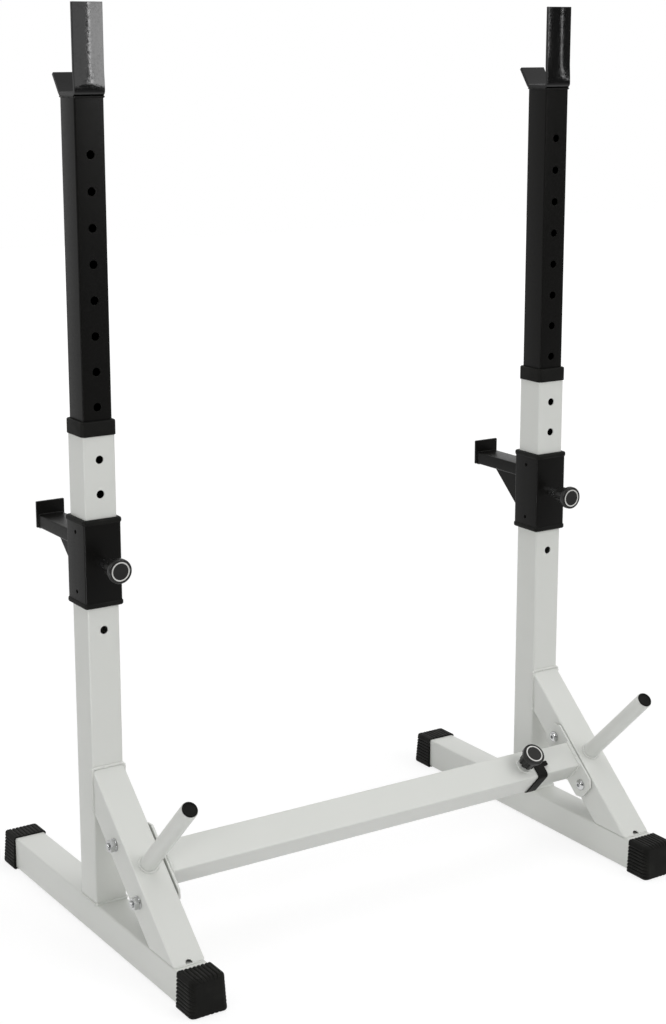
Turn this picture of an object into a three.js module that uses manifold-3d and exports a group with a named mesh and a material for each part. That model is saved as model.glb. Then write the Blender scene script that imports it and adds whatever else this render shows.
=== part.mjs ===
// Adjustable squat stand: two side frames with telescopic posts, joined by a telescopic crossbar.
// Millimetres, +Z up. The origin lies on the floor, midway between the frames and midway along the base.
// X runs along the crossbar. -Y is the front, the side of the plate pegs and of the locking knobs.

import * as THREE from 'three';
import { mergeVertices } from 'three/addons/utils/BufferGeometryUtils.js';
import Module from 'manifold-3d';

const wasm = await Module();
wasm.setup();

// Clearances
const seam = 0.3;
const fitGap = 0.3;
const slideGap = 0.5;
const overrun = 20;

// Frame tube
const tubeWidth = 50;
const tubeWall = 2;
const tubeRadius = 4;

// Layout of the frames
const frameSpacing = 816;
const frontReach = 322;
const rearReach = 311;

// Upright and its locking holes
const uprightLength = 720;
const holeDiameter = 12;
const holePitch = 50;
const uprightHoleCount = 6;
const topHoleInset = 51;
const pinHoleIndex = 2;

// Inner post
const postWall = 2;
const postHoleCount = 8;
const postHiddenHoleCount = 5;
const postHoleShare = 4.5;
const postTopMargin = 78;
const postEndMargin = 25;
const glideFlange = 3;
const glideStem = 22;

// Bar cup
const cupPlate = 5;
const cupWidth = 46;
const cupProud = 3.5;
const cupBackHeight = 125;
const cupBend = 5;
const cupLipRise = 31.5;
const cupLipLean = 36;
const cupSeatInset = 2.5;

// Brace
const braceRise = 212;
const braceRun = 241;
const drainDiameter = 9;
const drainFromFoot = 3.5;

// Plate peg
const pegDiameter = 25;
const pegWall = 2;
const pegLength = 177;
const pegElevation = 45;
const pegFromTop = 162.5;
const plugRim = 2.5;
const plugStem = 18;

// Base caps
const capSole = 2;
const capHeight = 55;
const capLength = 45;
const capEndWall = 4;
const capTopWidth = 55;
const capFootWidth = 60;
const capFootReach = 4;
const capNose = 9;
const capBevel = 3;
const capRibDepth = 1.1;
const capSideRibs = 8;
const capTopRibs = 7;
const capRibLandShare = 0.62;

// Collar on the upright
const collarWall = 1.9;
const collarSkirt = 17;
const collarTop = 2;
const collarChamfer = 2.6;
const collarPostGap = 0.4;

// Carriage
const linerWall = 1.2;
const linerGap = 0.4;
const linerLip = 4;
const linerDepth = 18;
const linerLipProud = 1.2;
const sleeveWall = 2.2;
const sleeveLength = 122;
const sleeveSideHole = 5;
const sleeveSideHoleInset = 17;

// Spotter arm
const armWidth = 40;
const armHeight = 20;
const armWall = 2;
const armRadius = 2.5;
const armLength = 116;
const armDrop = 23;
const stopWidth = 45;
const stopHeight = 40;
const stopPlate = 4;
const gussetPlate = 4;
const gussetReach = 88;
const gussetDepth = 76;

// Plunger
const pinDiameter = 10;
const pinClearance = 0.5;
const pinTravel = 10;
const pinPoke = 0.8;
const pinGuide = 1;
const rodDiameter = 6;
const rodInKnob = 8;
const barrelAcross = 13;
const barrelEnd = 2;
const springRoom = 5.5;
const springWire = 1;
const springTurns = 3;
const springMargin = 0.4;
const springGap = 0.5;
const knobLength = 30;
const knobNeck = 26.4;
const knobWaist = 30.4;
const knobFace = 36;
const knobFaceThickness = 9;
const knobClearance = 0.5;
const knobGap = 5.1;
const knobRounding = 2;

// Crossbar and its plates
const crossbarFromTop = 158;
const crossbarOpenLength = 105;
const crossbarOverlap = 300;
const crossbarHoleCount = 5;
const crossbarPinFromEnd = 30;
const crossbarPinTravel = 5.5;
const crossbarKnobLap = 12.5;
const bossDiameter = 26;
const bossHeight = 1.2;
const endCollarWall = 2.2;
const endCollarSkirt = 16;
const endCollarRim = 3;
const jointPlate = 6;
const jointPlateLength = 125;
const jointPlateChamfer = 10;
const boltSpacing = 93;
const boltDiameter = 10;
const boltHead = 18;
const boltHeadHeight = 5.5;
const boltSocket = 6;
const boltSocketDepth = 3;
const boltTail = 3;
const washerDiameter = 20;
const washerThickness = 2;
const nutAcross = 17;
const nutHeight = 8;

// Numbers of flat sides
const cornerSteps = 2;
const holeSides = 10;
const pinSides = 10;
const pegSides = 20;
const knobSides = 14;
const hexSides = 6;
const springRingSides = 5;
const springStepsPerTurn = 6;

// Sizes that follow from those above
const railBottom = capSole + fitGap;
const railTop = railBottom + tubeWidth;
const uprightBottom = railTop + seam;
const uprightTop = uprightBottom + uprightLength;
const half = tubeWidth / 2;
const tubeBore = tubeWidth - 2 * tubeWall;
const boreRadius = tubeRadius - tubeWall;
const lowestHole = uprightTop - topHoleInset - (uprightHoleCount - 1) * holePitch;
const pinHeight = lowestHole + pinHoleIndex * holePitch;
const postWidth = tubeBore - 2 * slideGap;
const postBore = postWidth - 2 * postWall;
const postFirstHole = pinHeight + postHoleShare * holePitch;
const postHiddenHole = pinHeight - holePitch;
const postBottom = postHiddenHole - postEndMargin;
const postTop = postFirstHole + (postHoleCount - 1) * holePitch + postTopMargin;
const sleeveBore = tubeWidth + 2 * (linerGap + linerWall + fitGap);
const sleeveWidth = sleeveBore + 2 * sleeveWall;
const sleeveFace = sleeveWidth / 2;
const sleeveTop = pinHeight + sleeveLength / 2;
const sleeveBottom = pinHeight - sleeveLength / 2;
const braceLength = Math.hypot(braceRise, braceRun);
const braceAngle = Math.atan2(braceRise, braceRun);
const braceTop = railTop + braceRise;
const pinHole = pinDiameter + 2 * pinClearance;
const pinRecess = sleeveWall + pinPoke;
const pinHead = pinRecess + pinTravel + pinGuide;
const barrelLength = pinHead - pinRecess + springRoom + barrelEnd;
const barrelCorner = barrelAcross / 2 / Math.cos(Math.PI / hexSides);
const knobBore = 2 * (barrelCorner + knobClearance);
const boltHole = boltDiameter + 2 * pinClearance;

// Finishes
const whiteCoat = { color: 0xd6d8d4, roughness: 0.45, metalness: 0 };
const blackCoat = { color: 0x1c1c1b, roughness: 0.4, metalness: 0 };
const blackPlastic = { color: 0x181818, roughness: 0.55, metalness: 0 };
const brightSteel = { color: 0xc9cbcc, roughness: 0.25, metalness: 1 };

function piece(name, geometry, finish) {
  const mesh = new THREE.Mesh(geometry, new THREE.MeshStandardMaterial(finish));
  mesh.name = name;
  return mesh;
}

// Solids: closed geometries are joined and cut here

function toSolid(geometry) {
  const bare = geometry.clone();
  bare.deleteAttribute('normal');
  bare.deleteAttribute('uv');
  const merged = mergeVertices(bare);
  return new wasm.Manifold(new wasm.Mesh({
    numProp: 3,
    vertProperties: new Float32Array(merged.attributes.position.array),
    triVerts: new Uint32Array(merged.index.array),
  }));
}

function toGeometry(solid) {
  const mesh = solid.getMesh();
  const geometry = new THREE.BufferGeometry();
  geometry.setAttribute('position', new THREE.BufferAttribute(mesh.vertProperties, 3));
  geometry.setIndex(new THREE.BufferAttribute(mesh.triVerts, 1));
  return geometry;
}

function cut(geometry, cutters) {
  const solid = cutters.reduce((left, cutter) => left.subtract(toSolid(cutter)), toSolid(geometry));
  return toGeometry(solid);
}

function join(first, second) {
  return toGeometry(toSolid(first).add(toSolid(second)));
}

// Outlines and plain bodies

function roundedSquare(path, width, height, radius) {
  const x = width / 2;
  const y = height / 2;
  path.moveTo(x, y - radius);
  path.absarc(x - radius, y - radius, radius, 0, Math.PI / 2);
  path.absarc(-x + radius, y - radius, radius, Math.PI / 2, Math.PI);
  path.absarc(-x + radius, -y + radius, radius, Math.PI, 1.5 * Math.PI);
  path.absarc(x - radius, -y + radius, radius, 1.5 * Math.PI, 2 * Math.PI);
  return path;
}

function extrude(shape, depth) {
  return new THREE.ExtrudeGeometry(shape, { depth, bevelEnabled: false, curveSegments: cornerSteps });
}

// A rectangular bar or tube along +Z from the origin
function barZ(width, height, radius, length) {
  return extrude(roundedSquare(new THREE.Shape(), width, height, radius), length);
}

function tubeZ(width, height, wall, radius, length) {
  const shape = roundedSquare(new THREE.Shape(), width, height, radius);
  const innerRadius = Math.max(radius - wall, wall / 2);
  shape.holes.push(roundedSquare(new THREE.Path(), width - 2 * wall, height - 2 * wall, innerRadius));
  return extrude(shape, length);
}

// Turns a bar from +Z to +Y
function alongY(geometry) {
  return geometry.rotateX(-Math.PI / 2);
}

function rodY(diameter, length, sides, y, z) {
  const rod = new THREE.CylinderGeometry(diameter / 2, diameter / 2, length, sides);
  return rod.translate(0, y, z);
}

function rodX(diameter, length, sides) {
  const rod = new THREE.CylinderGeometry(diameter / 2, diameter / 2, length, sides);
  return rod.rotateZ(Math.PI / 2);
}

function plateX(shape, thickness) {
  return extrude(shape, thickness).translate(0, 0, -thickness / 2).rotateY(Math.PI / 2).rotateX(Math.PI / 2);
}

// Front-wall holes at equal pitch, as cutters that pass one wall
function holeRow(first, count, wall, face) {
  const cutters = [];
  for (let index = 0; index < count; index += 1) {
    cutters.push(rodY(holeDiameter, 2 * wall + slideGap, holeSides, face + wall / 2, first + index * holePitch));
  }
  return cutters;
}

// Base: rail and its two ribbed shoes

function railPiece(name) {
  const inset = capEndWall + fitGap;
  const length = frontReach + rearReach - 2 * inset;
  const rail = alongY(tubeZ(tubeWidth, tubeWidth, tubeWall, tubeRadius, length));
  return piece(name, rail.translate(0, inset - frontReach, railBottom + half), whiteCoat);
}

// Half of the shoe's ribbed outline, from the sole's edge up to the middle of the top
function ribbedSide() {
  const points = [];
  const corners = [
    new THREE.Vector2(capFootWidth / 2, 0),
    new THREE.Vector2(capTopWidth / 2, capHeight - capRibDepth),
    new THREE.Vector2(0, capHeight),
  ];
  const counts = [capSideRibs, capTopRibs / 2];
  corners.slice(0, 2).forEach((start, side) => {
    const run = corners[side + 1].clone().sub(start);
    const inward = new THREE.Vector2(-run.y, run.x).normalize().multiplyScalar(capRibDepth);
    for (let rib = 0; rib < Math.floor(counts[side]); rib += 1) {
      const step = 1 / counts[side];
      points.push(start.clone().addScaledVector(run, rib * step));
      points.push(start.clone().addScaledVector(run, (rib + capRibLandShare) * step));
      points.push(start.clone().addScaledVector(run, (rib + (1 + capRibLandShare) / 2) * step).add(inward));
    }
  });
  return points;
}

function shoeOutline() {
  const right = ribbedSide();
  const left = right.slice().reverse().map((point) => new THREE.Vector2(-point.x, point.y));
  return new THREE.Shape([...right, ...left]);
}

// The shoe reaches further forward at its foot than at its top
function spreadFoot(geometry) {
  const position = geometry.attributes.position;
  for (let index = 0; index < position.count; index += 1) {
    const along = position.getY(index) / capLength;
    const low = 1 - position.getZ(index) / capHeight;
    position.setY(index, position.getY(index) + capFootReach * along * low - capFootReach * along);
  }
  return geometry;
}

// The shoe opens at the origin and its closed end points to +Y
function shoe() {
  const ribs = extrude(shoeOutline(), capLength - capNose).rotateX(Math.PI / 2);
  ribs.translate(0, capLength - capNose, 0);
  const nose = new THREE.Shape();
  nose.moveTo(-capFootWidth / 2 + capBevel, capBevel);
  nose.lineTo(capFootWidth / 2 - capBevel, capBevel);
  nose.lineTo(capTopWidth / 2 - capBevel, capHeight - capBevel);
  nose.lineTo(-capTopWidth / 2 + capBevel, capHeight - capBevel);
  const front = new THREE.ExtrudeGeometry(nose, {
    depth: capNose, bevelThickness: capBevel, bevelSize: capBevel, bevelSegments: 1,
  });
  front.rotateX(Math.PI / 2).translate(0, capLength - capBevel, 0);
  const cavity = tubeWidth + 2 * fitGap;
  const pocket = alongY(barZ(cavity, cavity, tubeRadius, capLength - capEndWall + overrun));
  pocket.translate(0, -overrun, railBottom + half);
  const body = spreadFoot(join(ribs, front));
  const floor = new THREE.BoxGeometry(2 * capFootWidth, 2 * capLength + overrun, overrun).translate(0, 0, -overrun / 2);
  return cut(body, [pocket, floor]);
}

function shoePieces(side) {
  const front = piece(`${side}_base_cap_front`, shoe(), blackPlastic);
  front.rotation.z = Math.PI;
  front.position.y = capLength - frontReach;
  const rear = piece(`${side}_base_cap_rear`, shoe(), blackPlastic);
  rear.position.y = rearReach - capLength;
  return [front, rear];
}

// Upright, its collar, and the sloping brace

function uprightPiece(name) {
  const tube = tubeZ(tubeWidth, tubeWidth, tubeWall, tubeRadius, uprightLength);
  tube.translate(0, 0, uprightBottom);
  return piece(name, cut(tube, holeRow(lowestHole, uprightHoleCount, tubeWall, -half)), whiteCoat);
}

// A bush over a tube's end: skirt, chamfered rim and the opening for the smaller tube
function endBush(wall, skirt, rim, chamfer, opening) {
  const outer = tubeWidth + 2 * (fitGap + wall);
  const radius = tubeRadius + fitGap + wall;
  const shape = roundedSquare(new THREE.Shape(), outer - 2 * chamfer, outer - 2 * chamfer, radius - chamfer);
  const body = new THREE.ExtrudeGeometry(shape, {
    depth: skirt + rim, bevelThickness: chamfer, bevelSize: chamfer, bevelSegments: 1, curveSegments: cornerSteps,
  });
  const skirtCut = new THREE.BoxGeometry(2 * outer, 2 * outer, overrun).translate(0, 0, -overrun / 2);
  const cavity = tubeWidth + 2 * fitGap;
  const mouth = barZ(cavity, cavity, tubeRadius, skirt + overrun).translate(0, 0, -overrun);
  const through = barZ(opening, opening, boreRadius, skirt + rim + chamfer + 2 * overrun);
  return cut(body, [skirtCut, mouth, through.translate(0, 0, -overrun)]);
}

function collarPiece(name) {
  const opening = postWidth + 2 * collarPostGap;
  const bush = endBush(collarWall, collarSkirt, collarTop, collarChamfer, opening);
  return piece(name, bush.translate(0, 0, uprightTop + seam - collarSkirt), blackPlastic);
}

// Frame on the brace's front face: +X stays, +Y runs up the slope, +Z leaves the face
function slopeGroup() {
  const group = new THREE.Group();
  group.position.set(0, -half, braceTop);
  group.rotation.x = braceAngle;
  return group;
}

// Places on the slope, measured down from the brace's upper end
const crossbarStation = -crossbarFromTop;
const boltStations = [1, -1].map((side) => crossbarStation + side * boltSpacing / 2);

function bracePiece(name) {
  const length = braceLength + 2 * tubeWidth;
  const tube = alongY(tubeZ(tubeWidth, tubeWidth, tubeWall, tubeRadius, length));
  tube.translate(0, tubeWidth - length, -half);
  const boltCutters = boltStations.map((y) => (
    rodX(boltHole, 2 * tubeWidth, holeSides).translate(0, y, -half)
  ));
  const drain = new THREE.CylinderGeometry(drainDiameter / 2, drainDiameter / 2, 2 * tubeWall, holeSides);
  drain.rotateX(Math.PI / 2).translate(0, drainFromFoot - braceLength, -tubeWall / 2);
  const sloped = cut(tube, [...boltCutters, drain]);
  sloped.rotateX(braceAngle).translate(0, -half, braceTop);
  const size = 2 * length;
  const behind = new THREE.BoxGeometry(size, size, size).translate(0, size / 2 - half - seam, braceTop);
  const below = new THREE.BoxGeometry(size, size, size).translate(0, 0, railTop + seam - size / 2);
  return piece(name, cut(sloped, [behind, below]), whiteCoat);
}

// Plate peg: a tube that leaves the brace at its own angle, with a plug in its free end

function pegGroup(side) {
  const group = new THREE.Group();
  const forward = pegFromTop * Math.cos(braceAngle);
  group.position.set(0, -half - forward, braceTop - pegFromTop * Math.sin(braceAngle));
  group.rotation.x = Math.PI / 2 - THREE.MathUtils.degToRad(pegElevation);
  const ring = new THREE.Shape().absarc(0, 0, pegDiameter / 2, 0, 2 * Math.PI);
  ring.holes.push(new THREE.Path().absarc(0, 0, pegDiameter / 2 - pegWall, 0, 2 * Math.PI));
  const tube = new THREE.ExtrudeGeometry(ring, {
    depth: pegLength + pegDiameter, bevelEnabled: false, curveSegments: pegSides / 2,
  });
  tube.translate(0, 0, -pegDiameter);
  const skew = group.rotation.x - braceAngle;
  const foot = new THREE.BoxGeometry(pegDiameter + overrun, pegDiameter + overrun, 2 * pegDiameter);
  foot.translate(0, 0, seam - pegDiameter).rotateX(-skew);
  group.add(piece(`${side}_plate_peg`, cut(tube, [foot]), whiteCoat));
  const rim = pegDiameter / 2 - plugRim / 4;
  const stem = pegDiameter / 2 - pegWall - fitGap;
  const profile = [
    [0, -plugStem], [stem, -plugStem], [stem, seam], [rim, seam],
    [rim, plugRim / 2], [rim - plugRim / 2, plugRim], [0, plugRim],
  ].map(([radius, height]) => new THREE.Vector2(radius, height));
  const plug = new THREE.LatheGeometry(profile, pegSides).rotateX(Math.PI / 2);
  group.add(piece(`${side}_peg_plug`, plug.translate(0, 0, pegLength), blackPlastic));
  return group;
}

// Inner post with its cup and glide

function postPiece(name) {
  const tube = tubeZ(postWidth, postWidth, postWall, tubeRadius, postTop - postBottom);
  tube.translate(0, 0, postBottom);
  const face = -postWidth / 2;
  const hidden = holeRow(postHiddenHole, postHiddenHoleCount, postWall, face);
  const shown = holeRow(postFirstHole, postHoleCount, postWall, face);
  return piece(name, cut(tube, [...hidden, ...shown]), blackCoat);
}

// Side view of the bent plate, in Y and Z, with the post's top at zero
function cupOutline() {
  const front = -postWidth / 2 - cupProud;
  const lean = THREE.MathUtils.degToRad(cupLipLean);
  const outerBend = cupBend + cupPlate;
  const lip = new THREE.Vector2(Math.sin(lean), Math.cos(lean));
  const across = new THREE.Vector2(-lip.y, lip.x);
  const bendCentre = new THREE.Vector2(postWidth / 2 - cupSeatInset, outerBend);
  const outerStart = bendCentre.clone().addScaledVector(across, -outerBend);
  const innerStart = bendCentre.clone().addScaledVector(across, -cupBend);
  const outerEnd = outerStart.clone().addScaledVector(lip, cupLipRise);
  const innerEnd = innerStart.clone().addScaledVector(lip, cupLipRise);
  const shape = new THREE.Shape();
  shape.moveTo(front, cupBackHeight);
  shape.lineTo(front, outerBend);
  shape.absarc(front + outerBend, outerBend, outerBend, Math.PI, 1.5 * Math.PI);
  shape.absarc(bendCentre.x, bendCentre.y, outerBend, 1.5 * Math.PI, 2 * Math.PI - lean);
  shape.lineTo(outerEnd.x, outerEnd.y);
  shape.lineTo(innerEnd.x, innerEnd.y);
  shape.absarc(bendCentre.x, bendCentre.y, cupBend, 2 * Math.PI - lean, 1.5 * Math.PI, true);
  shape.absarc(front + outerBend, outerBend, cupBend, 1.5 * Math.PI, Math.PI, true);
  shape.lineTo(front + cupPlate, cupBackHeight);
  return shape;
}

function cupPiece(name) {
  return piece(name, plateX(cupOutline(), cupWidth).translate(0, 0, postTop + seam), blackCoat);
}

function glidePiece(name) {
  const flange = barZ(postWidth + slideGap / 2, postWidth + slideGap / 2, tubeRadius, glideFlange);
  flange.translate(0, 0, postBottom - glideFlange);
  const width = postBore - 2 * fitGap;
  const stem = barZ(width, width, boreRadius, glideStem + glideFlange);
  return piece(name, join(flange, stem.translate(0, 0, postBottom - glideFlange)), blackPlastic);
}

// Carriage: sleeve, liners and spotter arm

function sleevePiece(name) {
  const tube = tubeZ(sleeveWidth, sleeveWidth, sleeveWall, tubeRadius + sleeveWall, sleeveLength);
  tube.translate(0, 0, sleeveBottom);
  const pin = rodY(pinHole, 2 * sleeveWall, holeSides, -sleeveFace + sleeveWall / 2, pinHeight);
  const sideHoles = [sleeveBottom + sleeveSideHoleInset, sleeveTop - sleeveSideHoleInset].map((z) => (
    rodX(sleeveSideHole, 2 * sleeveWidth, hexSides).translate(0, 0, z)
  ));
  return piece(name, cut(tube, [pin, ...sideHoles]), blackCoat);
}

// The lip is at the top; the lower liner is the same piece turned over
function linerPiece(name, upper) {
  const bore = tubeWidth + 2 * linerGap;
  const depth = linerDepth + linerLip;
  const skin = tubeZ(bore + 2 * linerWall, bore + 2 * linerWall, linerWall, tubeRadius, depth);
  const lipWidth = sleeveWidth + 2 * linerLipProud;
  const lip = barZ(lipWidth, lipWidth, tubeRadius + sleeveWall, linerLip - seam);
  const opening = barZ(bore, bore, tubeRadius - linerWall, depth + overrun).translate(0, 0, -overrun / 2);
  const geometry = cut(join(skin, lip.translate(0, 0, linerDepth + seam)), [opening]);
  geometry.translate(0, 0, -linerDepth);
  const liner = piece(name, geometry, blackPlastic);
  liner.position.z = upper ? sleeveTop : sleeveBottom;
  liner.rotation.x = upper ? 0 : Math.PI;
  return liner;
}

function armPieces(side) {
  const armTop = sleeveTop - armDrop;
  const armMiddle = armTop - armHeight / 2;
  const start = sleeveFace + seam;
  const arm = alongY(tubeZ(armWidth, armHeight, armWall, armRadius, armLength)).translate(0, start, armMiddle);
  const stop = new THREE.BoxGeometry(stopWidth, stopPlate, stopHeight);
  stop.translate(0, start + armLength + seam + stopPlate / 2, armTop - armHeight + stopHeight / 2);
  const web = new THREE.Shape();
  const under = armTop - armHeight - seam;
  web.moveTo(start, under);
  web.lineTo(start, under - gussetDepth);
  web.lineTo(start + 2 * gussetPlate, under - gussetDepth);
  web.lineTo(start + gussetReach, under - gussetPlate);
  web.lineTo(start + gussetReach, under);
  return [
    piece(`${side}_spotter_arm`, arm, blackCoat),
    piece(`${side}_arm_stop`, stop, blackCoat),
    piece(`${side}_arm_gusset`, plateX(web, gussetPlate), blackCoat),
  ];
}

// Plunger: barrel on its seat at z = 0, pin reaching below the seat, knob above

class SpringPath extends THREE.Curve {
  constructor(radius, height) {
    super();
    this.radius = radius;
    this.height = height;
  }

  getPoint(t, target = new THREE.Vector3()) {
    const angle = 2 * Math.PI * springTurns * t;
    return target.set(this.radius * Math.cos(angle), this.radius * Math.sin(angle), this.height * t);
  }
}

function barrelGeometry() {
  const body = new THREE.CylinderGeometry(barrelCorner, barrelCorner, barrelLength, hexSides);
  body.rotateX(Math.PI / 2).translate(0, 0, seam + barrelLength / 2);
  const bore = new THREE.CylinderGeometry(pinHole / 2, pinHole / 2, barrelLength, pinSides);
  bore.rotateX(Math.PI / 2).translate(0, 0, seam + barrelLength / 2 - barrelEnd);
  const rodHole = rodDiameter / 2 + fitGap;
  const through = new THREE.CylinderGeometry(rodHole, rodHole, 4 * barrelLength, pinSides);
  return cut(body, [bore, through.rotateX(Math.PI / 2)]);
}

function latheZ(points, sides) {
  const profile = points.map(([radius, height]) => new THREE.Vector2(radius, height));
  return new THREE.LatheGeometry(profile, sides).rotateX(Math.PI / 2);
}

// The pin is drawn back by travel; gap is the room between barrel and knob, below zero where they lap

function plungerPieces(prefix, gap, travel) {
  const shoulder = pinHead - pinRecess;
  const knobStart = seam + barrelLength + gap;
  const boreEnd = knobStart - gap + travel + knobClearance;
  const rodEnd = boreEnd + rodInKnob;
  const pinRadius = pinDiameter / 2;
  const pin = latheZ([
    [0, -pinRecess], [pinRadius - springWire, -pinRecess], [pinRadius, springWire - pinRecess],
    [pinRadius, shoulder], [rodDiameter / 2, shoulder], [rodDiameter / 2, rodEnd], [0, rodEnd],
  ], pinSides);
  const springBottom = shoulder + springMargin + springWire / 2;
  const springHeight = seam + barrelLength - barrelEnd - springMargin - springWire / 2 - springBottom;
  const springRadius = rodDiameter / 2 + springGap + springWire / 2;
  const ring = new THREE.Shape();
  for (let index = 0; index < springRingSides; index += 1) {
    const angle = 2 * Math.PI * index / springRingSides;
    const point = [springWire / 2 * Math.cos(angle), springWire / 2 * Math.sin(angle)];
    if (index === 0) ring.moveTo(...point);
    else ring.lineTo(...point);
  }
  const spring = new THREE.ExtrudeGeometry(ring, {
    steps: springTurns * springStepsPerTurn, bevelEnabled: false,
    extrudePath: new SpringPath(springRadius, springHeight),
  });
  spring.translate(0, 0, springBottom);
  const faceRadius = knobFace / 2;
  const knobEnd = knobStart + knobLength;
  const flangeStart = knobEnd - knobFaceThickness;
  const knob = latheZ([
    [0, rodEnd + fitGap], [rodDiameter / 2 + fitGap, rodEnd + fitGap], [rodDiameter / 2 + fitGap, boreEnd],
    [knobBore / 2, boreEnd], [knobBore / 2, knobStart], [knobNeck / 2, knobStart],
    [knobWaist / 2, flangeStart - knobRounding], [faceRadius, flangeStart],
    [faceRadius, knobEnd - knobRounding], [faceRadius - knobRounding, knobEnd], [0, knobEnd],
  ], knobSides);
  return {
    barrel: piece(`${prefix}_plunger_barrel`, barrelGeometry(), brightSteel),
    pin: piece(`${prefix}_plunger_pin`, pin, brightSteel),
    spring: piece(`${prefix}_plunger_spring`, spring, brightSteel),
    knob: piece(`${prefix}_plunger_knob`, knob, blackPlastic),
  };
}

function plungerGroup(prefix, gap, travel) {
  const group = new THREE.Group();
  group.add(...Object.values(plungerPieces(prefix, gap, travel)));
  return group;
}

// Joint plate between brace and crossbar, with its bolts and nuts; inward points to the other frame

function jointPlatePiece(name, inward) {
  const x = tubeWidth / 2;
  const y = jointPlateLength / 2;
  const corner = jointPlateChamfer;
  const shape = new THREE.Shape([
    [x, y - corner], [x - corner, y], [corner - x, y], [-x, y - corner],
    [-x, corner - y], [corner - x, -y], [x - corner, -y], [x, corner - y],
  ].map(([across, along]) => new THREE.Vector2(across, along)));
  const plate = extrude(shape, jointPlate).translate(0, 0, -jointPlate / 2).rotateY(Math.PI / 2);
  plate.translate(inward * (half + seam + jointPlate / 2), crossbarStation, -half);
  const cutters = boltStations.map((station) => (
    rodX(boltHole, 3 * tubeWidth, holeSides).translate(0, station, -half)
  ));
  return piece(name, cut(plate, cutters), whiteCoat);
}

function boltPiece(name, inward, station) {
  const seat = half + 2 * seam + jointPlate;
  const tail = -(half + seam + washerThickness + nutHeight + boltTail);
  const shank = boltDiameter / 2;
  const bolt = latheZ([
    [0, tail], [shank, tail], [shank, seat], [boltHead / 2, seat], [boltHead / 2, seat + boltHeadHeight / 4],
    [boltSocket / 2 + shank / 2, seat + boltHeadHeight], [boltSocket / 2, seat + boltHeadHeight],
    [boltSocket / 2, seat + boltHeadHeight - boltSocketDepth], [0, seat + boltHeadHeight - boltSocketDepth],
  ], pinSides);
  bolt.rotateY(inward * Math.PI / 2).translate(0, station, -half);
  return piece(name, bolt, brightSteel);
}

function nutPiece(name, inward, station) {
  const corner = nutAcross / 2 / Math.cos(Math.PI / hexSides);
  const hexagon = new THREE.CylinderGeometry(corner, corner, nutHeight, hexSides);
  hexagon.rotateX(Math.PI / 2).translate(0, 0, washerThickness + nutHeight / 2);
  const washer = new THREE.CylinderGeometry(washerDiameter / 2, washerDiameter / 2, washerThickness, pegSides);
  washer.rotateX(Math.PI / 2).translate(0, 0, washerThickness / 2);
  const thread = (boltDiameter / 2 + fitGap) / Math.cos(Math.PI / pinSides);
  const bore = new THREE.CylinderGeometry(thread, thread, 4 * nutHeight, pinSides);
  const nut = cut(join(washer, hexagon), [bore.rotateX(Math.PI / 2)]);
  nut.translate(0, 0, half + seam).rotateY(-inward * Math.PI / 2).translate(0, station, -half);
  return piece(name, nut, brightSteel);
}

function jointPieces(side, inward) {
  const places = ['upper', 'lower'];
  return [
    jointPlatePiece(`${side}_joint_plate`, inward),
    ...places.map((place, index) => boltPiece(`${side}_bolt_${place}`, inward, boltStations[index])),
    ...places.map((place, index) => nutPiece(`${side}_nut_${place}`, inward, boltStations[index])),
  ];
}

// Crossbar, built along +X on the slope; zero is the left frame's middle

const crossbarStart = half + 2 * seam + jointPlate;
const crossbarEnd = frameSpacing - crossbarOpenLength;
const crossbarPin = crossbarEnd - crossbarPinFromEnd;
const innerEnd = frameSpacing - crossbarStart;
const innerStart = crossbarEnd - crossbarOverlap;

function lieAlongX(geometry, start) {
  return geometry.rotateY(Math.PI / 2).translate(start, crossbarStation, -half);
}

function faceCutter(diameter, x, depth) {
  const cutter = new THREE.CylinderGeometry(diameter / 2, diameter / 2, 2 * depth, holeSides);
  return cutter.rotateX(Math.PI / 2).translate(x, crossbarStation, 0);
}

function crossbarOuterPiece() {
  const length = crossbarEnd - crossbarStart;
  const tube = lieAlongX(tubeZ(tubeWidth, tubeWidth, tubeWall, tubeRadius, length), crossbarStart);
  const boss = new THREE.CylinderGeometry(bossDiameter / 2, bossDiameter / 2, bossHeight + tubeWall / 2, pegSides);
  boss.rotateX(Math.PI / 2).translate(crossbarPin, crossbarStation, (bossHeight - tubeWall / 2) / 2);
  const bore = faceCutter(pinHole, crossbarPin, 2 * (bossHeight + tubeWall));
  return piece('crossbar_outer_tube', cut(join(tube, boss), [bore]), whiteCoat);
}

function crossbarInnerPiece() {
  const tube = lieAlongX(tubeZ(postWidth, postWidth, postWall, tubeRadius, innerEnd - innerStart), innerStart);
  const cutters = [];
  for (let index = 0; index < crossbarHoleCount; index += 1) {
    cutters.push(faceCutter(holeDiameter, crossbarPin - index * holePitch, 2 * (tubeWall + slideGap)));
  }
  return piece('crossbar_inner_tube', cut(tube, cutters), whiteCoat);
}

function crossbarGlidePiece() {
  const wide = postWidth + slideGap / 2;
  const narrow = postBore - 2 * fitGap;
  const flange = lieAlongX(barZ(wide, wide, tubeRadius, glideFlange), innerStart - seam - glideFlange);
  const stem = lieAlongX(barZ(narrow, narrow, boreRadius, glideFlange + glideStem), innerStart - seam - glideFlange);
  return piece('crossbar_inner_glide', join(flange, stem), blackPlastic);
}

function crossbarCollarPiece() {
  const opening = postWidth + 2 * collarPostGap;
  const bush = endBush(endCollarWall, endCollarSkirt, endCollarRim / 2, endCollarRim / 2, opening);
  return piece('crossbar_end_collar', lieAlongX(bush, crossbarEnd + seam - endCollarSkirt), blackPlastic);
}

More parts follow.
